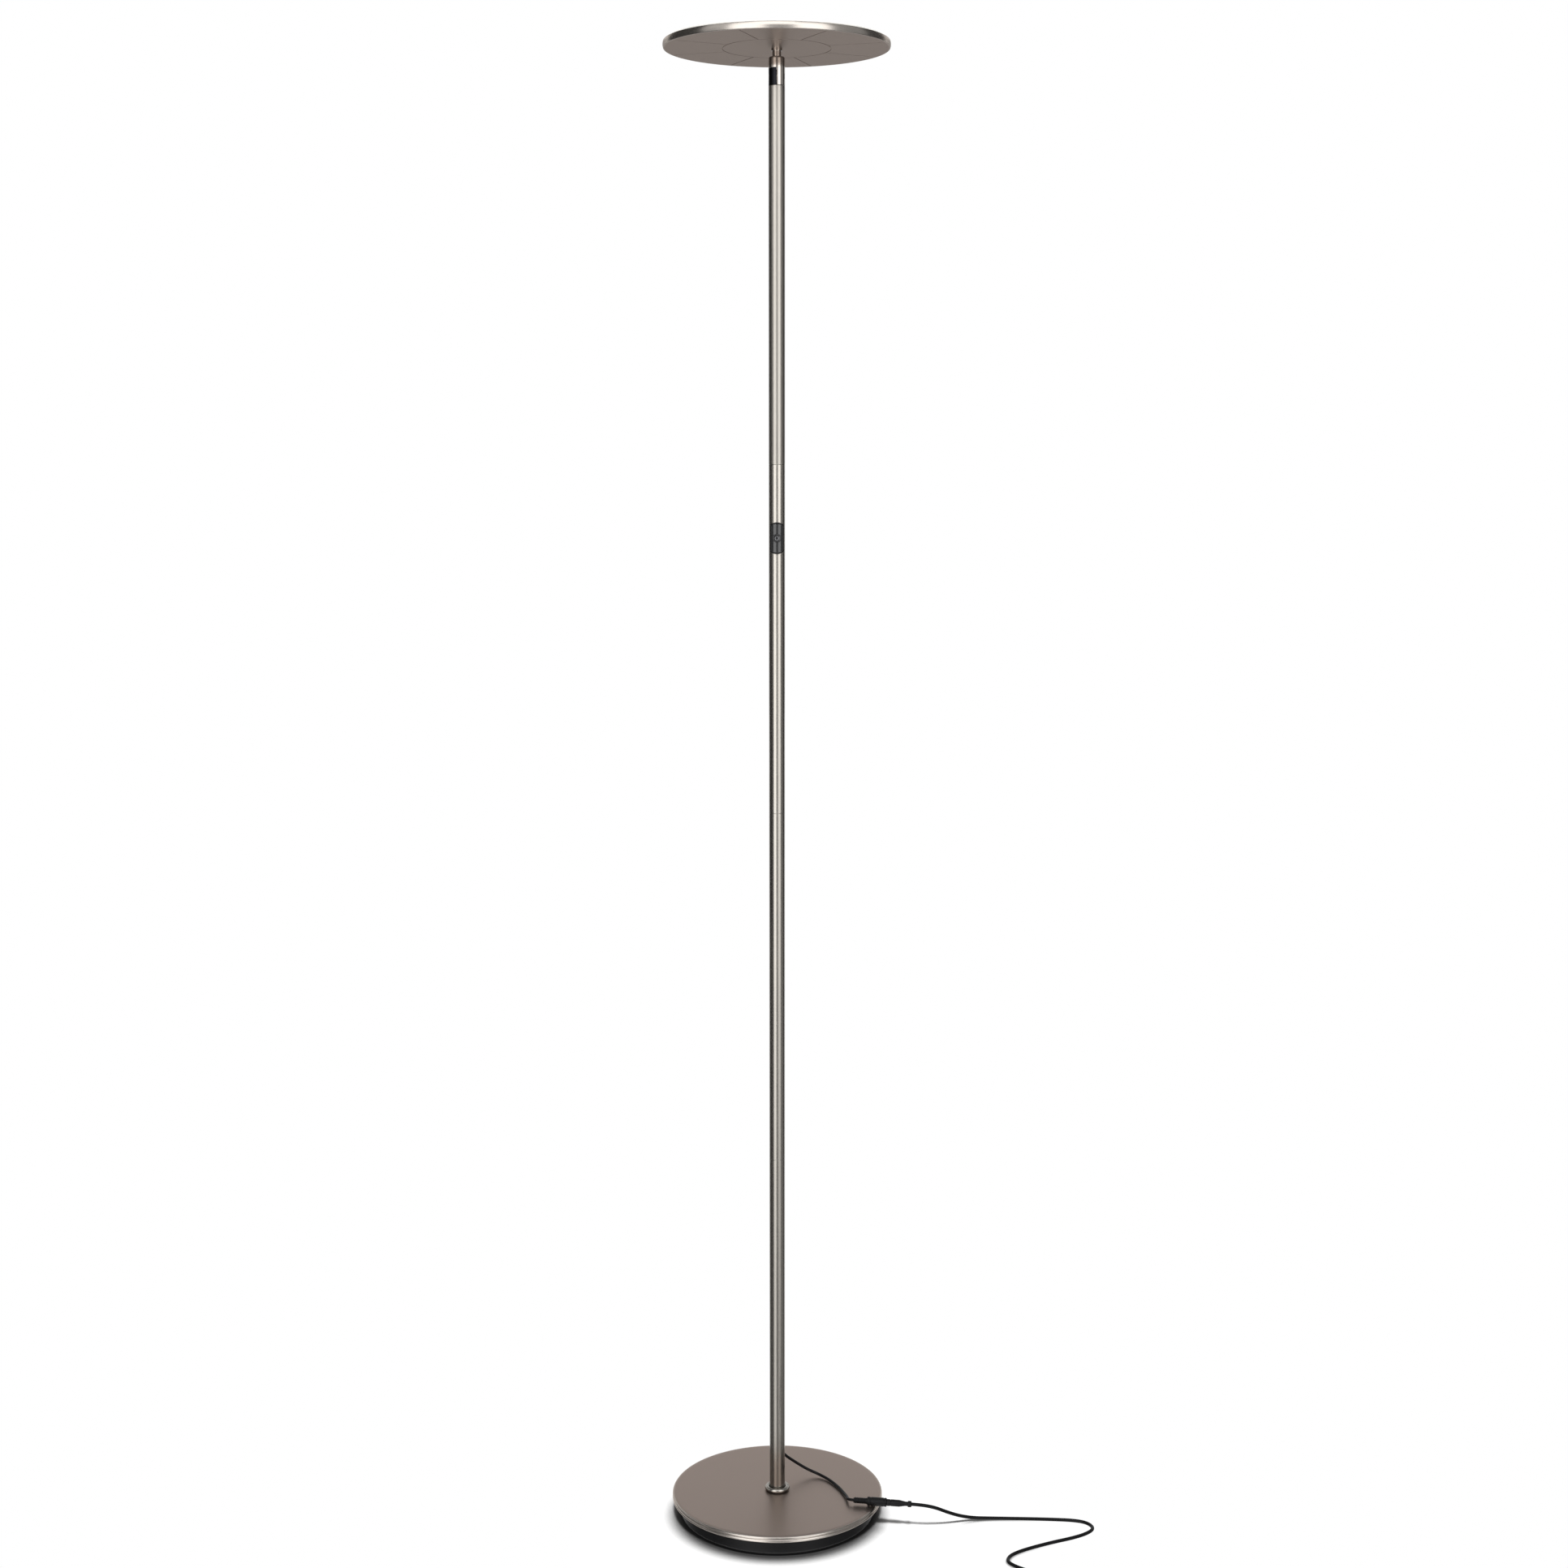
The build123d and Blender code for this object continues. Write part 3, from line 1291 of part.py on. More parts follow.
with BuildPart() as adapter_transformer:
    with BuildSketch(Plane.XY.offset(adapter_wall + board_thickness)):
        with Locations((adapter_middle_x, adapter_y)):
            Rectangle(transformer_size, transformer_size)
    extrude(amount=transformer_height)
adapter_transformer.part.label = "adapter_transformer"
export_step(adapter_transformer.part, "parts/adapter_transformer.step")
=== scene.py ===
import json
import math

import bpy
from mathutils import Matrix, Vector


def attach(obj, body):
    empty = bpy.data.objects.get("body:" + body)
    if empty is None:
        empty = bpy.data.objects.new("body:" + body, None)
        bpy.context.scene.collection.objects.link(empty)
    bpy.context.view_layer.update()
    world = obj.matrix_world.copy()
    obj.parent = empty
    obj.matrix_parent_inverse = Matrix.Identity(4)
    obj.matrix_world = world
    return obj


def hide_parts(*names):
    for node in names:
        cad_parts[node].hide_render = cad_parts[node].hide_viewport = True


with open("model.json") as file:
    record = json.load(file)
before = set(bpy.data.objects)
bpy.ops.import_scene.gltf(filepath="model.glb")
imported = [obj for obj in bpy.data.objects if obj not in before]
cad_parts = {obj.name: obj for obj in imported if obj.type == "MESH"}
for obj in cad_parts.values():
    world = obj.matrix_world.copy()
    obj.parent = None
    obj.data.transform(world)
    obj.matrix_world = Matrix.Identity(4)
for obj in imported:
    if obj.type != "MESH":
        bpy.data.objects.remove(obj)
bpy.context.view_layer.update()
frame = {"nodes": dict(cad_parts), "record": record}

# A slim torchiere floor lamp: satin nickel head, pole and base, a polished tilting knuckle, a black
# push switch, and a low-voltage lead that meets the adapter's cord in a connector on the base.
# Sizes are in metres unless a name says mm.

bl_info = {
    "name": "Torchiere Floor Lamp",
    "version": (1, 0, 0),
    "blender": (4, 5, 0),
    "location": "View3D > Sidebar > Lamp",
    "description": "Finishes a torchiere floor lamp around its packed frame and sets up its studio",
    "category": "Add Mesh",
}

MM = 0.001
SLOT_OF = {part["node"]: part["material_slot"] for part in frame["record"]["subparts"]}


def linear_colour(hex_colour):
    """An sRGB hex colour as linear red, green and blue."""
    channels = [int(hex_colour[i:i + 2], 16) / 255 for i in (1, 3, 5)]
    return [c / 12.92 if c <= 0.04045 else ((c + 0.055) / 1.055) ** 2.4 for c in channels]


def opaque(colour):
    """A colour with a full alpha, as shader sockets take it."""
    return (colour[0], colour[1], colour[2], 1.0)


class LampSizes(bpy.types.PropertyGroup):
    lead_diameter: bpy.props.FloatProperty(
        name="Lead diameter",
        description="Thickness of the lead from the pole to the connector",
        default=3.2 * MM,
        subtype="DISTANCE",
        unit="LENGTH",
    )
    cord_diameter: bpy.props.FloatProperty(
        name="Cord diameter",
        description="Thickness of the cord from the connector to the adapter",
        default=3.8 * MM,
        subtype="DISTANCE",
        unit="LENGTH",
    )


class LampColours(bpy.types.PropertyGroup):
    nickel: bpy.props.FloatVectorProperty(
        name="Satin nickel",
        description="Colour of the head and the base",
        default=linear_colour("#897e78"),
        subtype="COLOR",
    )
    tube: bpy.props.FloatVectorProperty(
        name="Tube nickel",
        description="Colour of the pole's tubes and the ring round its foot",
        default=linear_colour("#908c86"),
        subtype="COLOR",
    )
    polished: bpy.props.FloatVectorProperty(
        name="Polished nickel",
        description="Colour of the knuckle's upper half, the pivot caps, the neck and its collar",
        default=linear_colour("#a09a94"),
        subtype="COLOR",
    )
    black: bpy.props.FloatVectorProperty(
        name="Black plastic",
        description="Colour of the base pan, the switch, the connector and the cords",
        default=linear_colour("#0b0b0c"),
        subtype="COLOR",
    )


class LampStage(bpy.types.PropertyGroup):
    camera_place: bpy.props.FloatVectorProperty(
        name="Camera place",
        description="Where the camera stands",
        default=(7.5 * MM, -2463 * MM, 1178.3 * MM),
        subtype="TRANSLATION",
        unit="LENGTH",
    )
    camera_pitch: bpy.props.FloatProperty(
        name="Camera pitch",
        description="How far the camera looks down from the horizon",
        default=math.radians(8.08),
        subtype="ANGLE",
    )
    camera_lens: bpy.props.FloatProperty(
        name="Camera lens",
        description="Focal length in millimetres on a 36 mm wide sensor",
        default=53.09,
        subtype="DISTANCE_CAMERA",
    )
    key_strength: bpy.props.FloatProperty(
        name="Key light",
        description="Strength of the far lamp over the front, in watts a square metre",
        default=3.75,
        min=0.0,
    )


def deselect_all():
    """Leave edit mode and select nothing."""
    if bpy.context.object and bpy.context.object.mode != "OBJECT":
        bpy.ops.object.mode_set(mode="OBJECT")
    bpy.ops.object.select_all(action="DESELECT")


def add_node(tree, kind, links=None, inputs=None, **settings):
    """A shader node with its settings, socket values and incoming links."""
    node = tree.nodes.new(kind)
    for name, value in settings.items():
        setattr(node, name, value)
    for name, value in (inputs or {}).items():
        node.inputs[name].default_value = value
    for name, socket in (links or {}).items():
        tree.links.new(socket, node.inputs[name])
    return node


def blank_material(name):
    """A material with an empty node tree. Returns the material and its tree."""
    material = bpy.data.materials.new(name)
    material.use_nodes = True
    material.node_tree.nodes.clear()
    return material, material.node_tree


def new_material(name, colour, roughness, metallic=0.0, sockets=None):
    """A material with one Principled shader. Returns the material, its tree and the shader."""
    material, tree = blank_material(name)
    inputs = {"Base Color": opaque(colour), "Roughness": roughness, "Metallic": metallic}
    inputs.update(sockets or {})
    shader = add_node(tree, "ShaderNodeBsdfPrincipled", inputs=inputs)
    add_node(tree, "ShaderNodeOutputMaterial", links={"Surface": shader.outputs["BSDF"]})
    return material, tree, shader


EVEN = (1, 1, 1)
# Stretch of the grain on tubes that are brushed along their length
BRUSHED = (1, 1, 60)
# The middle of a noise, where nearly all of its values lie
NOISE_RANGE = (0.3, 0.7)


# Brushing, blasting and mould texture are too fine to show in the render, so their grain is drawn coarser
def grain(tree, shader, grain_mm, rough_range, bump_mm, stretch=EVEN, tones=None):
    """Roughness, bump and, where given, colour that follow one stretched noise of a real grain size."""
    place = add_node(tree, "ShaderNodeTexCoord")
    mapping = add_node(
        tree,
        "ShaderNodeMapping",
        links={"Vector": place.outputs["Object"]},
        inputs={"Scale": [1 / s for s in stretch]},
    )
    noise = add_node(
        tree,
        "ShaderNodeTexNoise",
        links={"Vector": mapping.outputs["Vector"]},
        inputs={"Scale": 1 / (grain_mm * MM), "Detail": 3.0, "Roughness": 0.6},
    )
    rough = add_node(
        tree,
        "ShaderNodeMapRange",
        links={"Value": noise.outputs["Fac"]},
        inputs={
            "From Min": NOISE_RANGE[0],
            "From Max": NOISE_RANGE[1],
            "To Min": rough_range[0],
            "To Max": rough_range[1],
        },
    )
    tree.links.new(rough.outputs["Result"], shader.inputs["Roughness"])
    bump = add_node(
        tree,
        "ShaderNodeBump",
        links={"Height": noise.outputs["Fac"]},
        inputs={"Strength": 1.0, "Distance": bump_mm * MM},
    )
    tree.links.new(bump.outputs["Normal"], shader.inputs["Normal"])
    if tones:
        mixed = add_node(
            tree,
            "ShaderNodeMix",
            links={"Factor": noise.outputs["Fac"]},
            inputs={"A": opaque(tones[0]), "B": opaque(tones[1])},
            data_type="RGBA",
        )
        tree.links.new(mixed.outputs["Result"], shader.inputs["Base Color"])


def grained(name, colour, roughness, metallic=0.0, sockets=None, **pattern):
    """A material with one Principled shader and one grain all over."""
    material, tree, shader = new_material(name, colour, roughness, metallic, sockets)
    grain(tree, shader, **pattern)
    return material


def shade(colour, factor):
    """A colour made lighter or darker."""
    return [min(1.0, c * factor) for c in colour]


def shades(colour, *factors):
    """Lighter and darker shades of one colour."""
    return [shade(colour, factor) for factor in factors]


def hex_tones(*hex_colours):
    """Several sRGB hex colours as linear ones."""
    return [linear_colour(hex_colour) for hex_colour in hex_colours]


# Dark plastics that have been handled and wiped mirror less than their index alone would give
DULL = {"IOR": 1.5, "Specular IOR Level": 0.14}


def satin_nickel_on_tube(colours):
    """Nickel plate on steel tube, brushed along its length: long fine lines that soften reflections."""
    return grained(
        "nickel_brushed_tube", colours.tube, 0.25, 1.0,
        grain_mm=0.5, rough_range=(0.19, 0.27), bump_mm=0.0007, stretch=BRUSHED,
        tones=shades(colours.tube, 0.94, 1.06),
    )


def nickel_with_painted_shade_on_top_tube(colours):
    """The top tube's nickel: the same brushing, a little duller, and its colour darkened all over by painted
    shade.
    """
    return grained(
        "nickel_brushed_top_tube_painted_shade", colours.tube, 0.32, 1.0,
        grain_mm=0.5, rough_range=(0.27, 0.35), bump_mm=0.0007, stretch=BRUSHED,
        # Both tones sit below the tube's own colour: painted shade that darkens the top tube
        tones=shades(colours.tube, 0.84, 0.96),
    )


DISC_TINT = (1.0, 0.93, 0.88)
DISC_RIM_RADII_MM = (115.3, 116.4)
DISC_RIM_ROUGHNESS = 0.24
DISC_RIM_SHADE = 0.95


def satin_nickel_on_disc(colours):
    """Nickel plate on spun metal: satin blasted, with an even soft sheen, brighter on its turned rim."""
    material, tree, shader = new_material(
        "nickel_satin_disc", colours.nickel, 0.4, 1.0, {"Specular Tint": opaque(DISC_TINT)}
    )
    grain(
        tree, shader, grain_mm=0.7, rough_range=(0.34, 0.44), bump_mm=0.003,
        tones=shades(colours.nickel, 0.93, 1.07),
    )
    place = add_node(tree, "ShaderNodeTexCoord")
    flat = add_node(
        tree,
        "ShaderNodeVectorMath",
        links={0: place.outputs["Object"]},
        inputs={1: (1, 1, 0)},
        operation="MULTIPLY",
    )
    reach = add_node(tree, "ShaderNodeVectorMath", links={0: flat.outputs["Vector"]}, operation="LENGTH")
    rim = add_node(
        tree,
        "ShaderNodeMapRange",
        links={"Value": reach.outputs["Value"]},
        inputs={"From Min": DISC_RIM_RADII_MM[0] * MM, "From Max": DISC_RIM_RADII_MM[1] * MM},
    )
    for name, kind, at_rim in (
        ("Base Color", "RGBA", opaque(shade(colours.polished, DISC_RIM_SHADE))),
        ("Roughness", "FLOAT", DISC_RIM_ROUGHNESS),
    ):
        on_face = shader.inputs[name].links[0].from_socket
        mixed = add_node(
            tree,
            "ShaderNodeMix",
            links={"Factor": rim.outputs["Result"], "A": on_face},
            inputs={"B": at_rim},
            data_type=kind,
        )
        tree.links.new(mixed.outputs["Result"], shader.inputs[name])
    return material


def polished_nickel(colours):
    """Polished nickel plate on die-cast zinc: near mirror, with a slight polishing haze."""
    return grained(
        "nickel_polished", colours.polished, 0.1, 1.0,
        grain_mm=4.0, rough_range=(0.06, 0.13), bump_mm=0.0005,
    )


def black_nickel(colours):
    """Black nickel plate on the knuckle's lower half: dark and glossy."""
    return grained(
        "nickel_black_polished", linear_colour("#17171a"), 0.15, 1.0,
        grain_mm=4.0, rough_range=(0.1, 0.2), bump_mm=0.0005,
    )


def mark_paint(colours):
    """Pale grey pad-printed ink: matt, slightly uneven at its edges."""
    return grained(
        "ink_pale_grey", linear_colour("#87888c"), 0.5,
        grain_mm=0.2, rough_range=(0.45, 0.6), bump_mm=0.01, tones=hex_tones("#7c7d81", "#929397"),
    )


def plated_steel(colours):
    """Zinc plated steel fasteners: bright grey with a slightly cloudy passivation."""
    return grained(
        "steel_zinc_plated", linear_colour("#b9bbbc"), 0.3, 1.0,
        grain_mm=1.5, rough_range=(0.25, 0.42), bump_mm=0.002, tones=hex_tones("#aeb0b0", "#c4c6c8"),
    )


def cast_iron(colours):
    """Cast iron as it leaves the mould: dark, rough and sandy."""
    return grained(
        "iron_cast", linear_colour("#3b3a39"), 0.7, 0.9,
        grain_mm=1.2, rough_range=(0.6, 0.85), bump_mm=0.12, tones=hex_tones("#302f2e", "#4a4847"),
    )


def black_plastic(colours):
    """Black ABS from a spark-eroded mould: a fine even texture with a low sheen."""
    return grained(
        "abs_black_textured", colours.black, 0.45, sockets=DULL,
        grain_mm=0.6, rough_range=(0.4, 0.55), bump_mm=0.02, tones=shades(colours.black, 0.85, 1.2),
    )


def gloss_black_plastic(colours):
    """Black ABS from a polished mould: glossy, with faint flow marks."""
    return grained(
        "abs_black_gloss", colours.black, 0.2, sockets={"IOR": 1.5, "Coat Weight": 0.12},
        grain_mm=3.0, rough_range=(0.16, 0.26), bump_mm=0.002, tones=shades(colours.black, 0.8, 1.3),
    )


def white_nylon(colours):
    """Moulded nylon: milky white, with a waxy sheen."""
    return grained(
        "nylon_white", linear_colour("#e4e2da"), 0.45, sockets={"IOR": 1.53},
        grain_mm=1.0, rough_range=(0.4, 0.5), bump_mm=0.01, tones=hex_tones("#dedbd2", "#e9e7e0"),
    )


def opal_acrylic(colours):
    """Opal acrylic, moulded: white all through, smooth outside, lit softly from inside."""
    glow = {"Emission Color": opaque(linear_colour("#fffdf8")), "Emission Strength": 0.06}
    return grained(
        "acrylic_opal", linear_colour("#f3f2ee"), 0.3, sockets={"IOR": 1.49, **glow},
        grain_mm=6.0, rough_range=(0.26, 0.36), bump_mm=0.002,
    )


def aluminium_board(colours):
    """Aluminium-core circuit board under white solder mask."""
    return grained(
        "board_white_mask", linear_colour("#ebeae6"), 0.4,
        grain_mm=2.0, rough_range=(0.32, 0.46), bump_mm=0.01, tones=hex_tones("#e4e3df", "#f0efec"),
    )


def led_phosphor(colours):
    """Light-emitting diode chips under yellow phosphor resin."""
    return grained(
        "led_phosphor", linear_colour("#e8d27a"), 0.3, sockets={"IOR": 1.5},
        grain_mm=0.4, rough_range=(0.25, 0.4), bump_mm=0.005, tones=hex_tones("#dfc566", "#f0de92"),
    )


def circuit_board(colours):
    """Glass-epoxy circuit board under green solder mask."""
    return grained(
        "board_green_mask", linear_colour("#1f5a3a"), 0.4,
        grain_mm=1.0, rough_range=(0.32, 0.5), bump_mm=0.02, tones=hex_tones("#1a4f32", "#276848"),
    )


def ferrite(colours):
    """Taped transformer winding on a ferrite core."""
    return grained(
        "transformer_tape", linear_colour("#c9a227"), 0.45, stretch=(1, 1, 8),
        grain_mm=1.5, rough_range=(0.4, 0.6), bump_mm=0.05, tones=hex_tones("#b8921f", "#d6b03a"),
    )


def plated_brass(colours):
    """Nickel plated brass contacts: smooth and slightly yellow."""
    return grained(
        "brass_nickel_plated", linear_colour("#c2bdb0"), 0.2, 1.0, stretch=(8, 1, 1),
        grain_mm=0.8, rough_range=(0.16, 0.28), bump_mm=0.002,
    )


def wire_vinyl(colours):
    """Insulated wire in red vinyl, with an extruded sheen."""
    return grained(
        "vinyl_wire_red", linear_colour("#8e1f1a"), 0.4, sockets={"IOR": 1.54}, stretch=(1, 1, 10),
        grain_mm=0.8, rough_range=(0.35, 0.5), bump_mm=0.01, tones=hex_tones("#861b17", "#982520"),
    )


def cord_vinyl(colours):
    """Soft black vinyl, extruded and moulded: a dull sheen with faint handling marks."""
    return grained(
        "vinyl_black_soft", colours.black, 0.42, sockets={"Specular IOR Level": 0.12},
        grain_mm=1.2, rough_range=(0.36, 0.5), bump_mm=0.012, tones=shades(colours.black, 0.7, 1.2),
    )


def foam_rubber(colours):
    """Closed-cell foam sheet: matt black with small cells."""
    return grained(
        "foam_black", linear_colour("#161616"), 0.85,
        grain_mm=0.8, rough_range=(0.75, 0.95), bump_mm=0.08, tones=hex_tones("#101010", "#1d1d1d"),
    )


FINISHES = {
    "satin_nickel_steel": satin_nickel_on_tube,
    "satin_nickel_aluminium": satin_nickel_on_disc,
    "polished_nickel": polished_nickel,
    "satin_nickel_top_tube": nickel_with_painted_shade_on_top_tube,
    "black_nickel": black_nickel,
    "mark_paint": mark_paint,
    "plated_steel": plated_steel,
    "cast_iron": cast_iron,
    "black_plastic": black_plastic,
    "gloss_black_plastic": gloss_black_plastic,
    "white_nylon": white_nylon,
    "opal_acrylic": opal_acrylic,
    "aluminium_board": aluminium_board,
    "led_phosphor": led_phosphor,
    "circuit_board": circuit_board,
    "ferrite": ferrite,
    "plated_brass": plated_brass,
    "wire_vinyl": wire_vinyl,
    "cord_vinyl": cord_vinyl,
    "foam_rubber": foam_rubber,
}
made_finishes = {}


def finish_for(slot):
    """The material of a slot, made on first use."""
    if slot not in made_finishes:
        made_finishes[slot] = FINISHES[slot](bpy.context.scene.lamp_colours)
    return made_finishes[slot]


def dress(piece, material):
    """Give a piece one material all over."""
    piece.data.materials.clear()
    piece.data.materials.append(material)


class LAMP_OT_finish_nodes(bpy.types.Operator):
    """Give every piece of the frame the finish of its material slot"""

    bl_idname = "lamp.finish_nodes"
    bl_label = "Finish the frame's pieces"

    def execute(self, context):
        for name, node in frame["nodes"].items():
            dress(node, finish_for(SLOT_OF[name]))
        dress(frame["nodes"]["pole_tube_top"], finish_for("satin_nickel_top_tube"))
        dress(frame["nodes"]["lower_knuckle"], finish_for("black_nickel"))
        return {"FINISHED"}


# Points nearer than this are the same point
TINY = 1e-6
# Edges that turn by more than these are rounded, and stay sharp in the shading
ROUNDED_ANGLE = math.radians(32)
SHARP_ANGLE = math.radians(35)


def select_only(piece):
    """Select one piece and make it active."""
    deselect_all()
    piece.select_set(True)
    bpy.context.view_layer.objects.active = piece


def draw_chain(name, points_mm):
    """A chain of edges, drawn by extruding one vertex. Leaves it selected in edit mode."""
    deselect_all()
    bpy.ops.mesh.primitive_plane_add(size=MM)
    piece = bpy.context.object
    piece.name = name
    bpy.ops.object.mode_set(mode="EDIT")
    bpy.ops.mesh.select_all(action="SELECT")
    bpy.ops.mesh.merge(type="CENTER")
    bpy.ops.transform.translate(value=Vector(points_mm[0]) * MM)
    for before, after in zip(points_mm, points_mm[1:]):
        step = (Vector(after) - Vector(before)) * MM
        bpy.ops.mesh.extrude_vertices_move(TRANSFORM_OT_translate={"value": step})
    bpy.ops.mesh.select_all(action="SELECT")
    return piece


def draw_loop(name, points_mm):
    """A closed loop of edges. Leaves it selected in edit mode."""
    piece = draw_chain(name, points_mm + points_mm[:1])
    bpy.ops.mesh.remove_doubles(threshold=TINY)
    return piece


def close_up():
    """Merge what meets, and point all faces outwards."""
    bpy.ops.mesh.select_all(action="SELECT")
    bpy.ops.mesh.remove_doubles(threshold=2 * TINY)
    bpy.ops.mesh.dissolve_degenerate(threshold=TINY)
    bpy.ops.mesh.select_all(action="SELECT")
    bpy.ops.mesh.normals_make_consistent(inside=False)


def turn_profile(name, profile_mm, segments):
    """A piece turned on the z axis from a profile of radius and height."""
    piece = draw_chain(name, [(radius, 0, height) for radius, height in profile_mm])
    bpy.ops.mesh.spin(steps=segments, angle=2 * math.pi, center=(0, 0, 0), axis=(0, 0, 1))
    close_up()
    bpy.ops.object.mode_set(mode="OBJECT")
    return piece


def apply_modifier(piece, kind, **settings):
    """Add a modifier with its settings and apply it."""
    modifier = piece.modifiers.new(kind.lower(), kind)
    for name, value in settings.items():
        setattr(modifier, name, value)
    select_only(piece)
    bpy.ops.object.modifier_apply(modifier=modifier.name)


def round_edges(piece, width_mm):
    """Round every sharp edge of a piece."""
    apply_modifier(
        piece, "BEVEL", width=width_mm * MM, segments=2, limit_method="ANGLE", angle_limit=ROUNDED_ANGLE
    )


def smooth(piece):
    """Shade a piece smooth, apart from its sharp edges."""
    select_only(piece)
    bpy.ops.object.shade_smooth_by_angle(angle=SHARP_ANGLE)


def set_down(piece, place_mm, turn):
    """Put a piece that was made at the origin in its place, with the place in its mesh."""
    select_only(piece)
    piece.rotation_euler = turn
    piece.location = Vector(place_mm) * MM
    bpy.ops.object.transform_apply(location=True, rotation=True, scale=True)


def cut(piece, tool, operation):
    """Cut a piece with another one, which is used up."""
    apply_modifier(piece, "BOOLEAN", object=tool, operation=operation, solver="EXACT")
    bpy.data.objects.remove(tool)


def hand_over(piece, body, slot, finish, *nodes):
    """Finish a piece, ride it on its body and let it stand for its nodes."""
    smooth(piece)
    dress(piece, finish_for(finish))
    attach(piece, body)
    if nodes:
        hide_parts(*nodes)


def arc(centre, radius, from_angle, to_angle, steps):
    """Points along an arc, in the plane of a profile or an outline."""
    points = []
    for step in range(steps + 1):
        angle = from_angle + (to_angle - from_angle) * step / steps
        points.append((centre[0] + radius * math.cos(angle), centre[1] + radius * math.sin(angle)))
    return points


def rounded_rectangle(low, high, corner, steps):
    """Points round a rectangle with rounded corners."""
    near = (low[0] + corner, low[1] + corner)
    far = (high[0] - corner, high[1] - corner)
    centres = ((far[0], near[1]), (far[0], far[1]), (near[0], far[1]), (near[0], near[1]))
    points = []
    for index, centre in enumerate(centres):
        first = (index - 1) * math.pi / 2
        points += arc(centre, corner, first, first + math.pi / 2, steps)
    return points


BASE_RADIUS_MM = 117.5
BASE_TOP_MM = 28.0
BASE_BORE_RADIUS_MM = 5.3
BEAD_RADIUS_MM = 1.775
BEAD_SPACING_MM = 1.85 * BEAD_RADIUS_MM
BEAD_SWEEP = math.radians(60)
BEAD_STEPS = 8
COVER_WALL_MM = 1.2
COVER_INNER_RADIUS_MM = 115.2
LIP_INNER_RADIUS_MM = 109.6
# How the cover's top falls away towards its edge: radius and height
COVER_FALL_MM = [(60, 28), (111.5, 28), (112.5, 27.99), (113.6, 27.94), (114.6, 27.84), (115.4, 27.66)]


class LAMP_OT_spin_base_cover(bpy.types.Operator):
    """Spin the base's cover, which falls away a little at its edge, above a rim of two beads"""

    bl_idname = "lamp.spin_base_cover"
    bl_label = "Spin the base cover"

    def execute(self, context):
        bottom = BASE_TOP_MM - 4 * BEAD_RADIUS_MM
        underside = BASE_TOP_MM - COVER_WALL_MM
        bead_reach = BASE_RADIUS_MM - BEAD_RADIUS_MM
        lower = (bead_reach, bottom + BEAD_RADIUS_MM)
        upper = (bead_reach, bottom + BEAD_RADIUS_MM + BEAD_SPACING_MM)
        profile = [(BASE_BORE_RADIUS_MM, BASE_TOP_MM)] + COVER_FALL_MM
        profile += arc(upper, BEAD_RADIUS_MM, BEAD_SWEEP, -BEAD_SWEEP, BEAD_STEPS)
        profile += arc(lower, BEAD_RADIUS_MM, BEAD_SWEEP, -math.pi / 2, BEAD_STEPS)
        profile += [
            (LIP_INNER_RADIUS_MM, bottom),
            (LIP_INNER_RADIUS_MM, bottom + COVER_WALL_MM),
            (COVER_INNER_RADIUS_MM, bottom + COVER_WALL_MM),
            (COVER_INNER_RADIUS_MM, underside),
            (BASE_BORE_RADIUS_MM, underside),
            (BASE_BORE_RADIUS_MM, BASE_TOP_MM),
        ]
        cover = turn_profile("cover", profile, segments=192)
        hand_over(cover, "stand", "satin_nickel_steel", "satin_nickel_aluminium", "base_cover")
        return {"FINISHED"}


FOOT_RING_RADIUS_MM = 13.85
FOOT_RING_BEAD_MM = 2.6


class LAMP_OT_turn_foot_ring(bpy.types.Operator):
    """Turn the ring round the foot of the pole: a full-round bead that stands on the cover"""

    bl_idname = "lamp.turn_foot_ring"
    bl_label = "Turn the foot ring"

    def execute(self, context):
        middle = (FOOT_RING_RADIUS_MM - FOOT_RING_BEAD_MM, BASE_TOP_MM + FOOT_RING_BEAD_MM)
        profile = arc(middle, FOOT_RING_BEAD_MM, 0, 2 * math.pi, steps=24)
        ring = turn_profile("foot_ring", profile, segments=96)
        hand_over(ring, "stand", "polished_nickel", "satin_nickel_steel", "base_collar")
        return {"FINISHED"}


# One moulded ring: the share of its depth that is cut away, at a share of its pitch
RING_SHAPE = ((1, 0.08), (1, 0.22), (0, 0.36), (0, 0.86), (1, 0.98))


def ribbed(start_z, end_z, radius, depth, count):
    """A stretch of profile with rounded rings moulded round it."""
    pitch = (end_z - start_z) / count
    return [
        (radius - depth * cut_away, start_z + pitch * (index + along))
        for index in range(count)
        for cut_away, along in RING_SHAPE
    ]


# The connector's axis, as the frame has it
CONNECTOR_START_MM = Vector((84.6, -38.6, 33.1))
CONNECTOR_HEADING = math.radians(-9.3)
CONNECTOR_AXIS = Vector((math.cos(CONNECTOR_HEADING), math.sin(CONNECTOR_HEADING), 0))
CONNECTOR_LENGTH_MM = 64.3
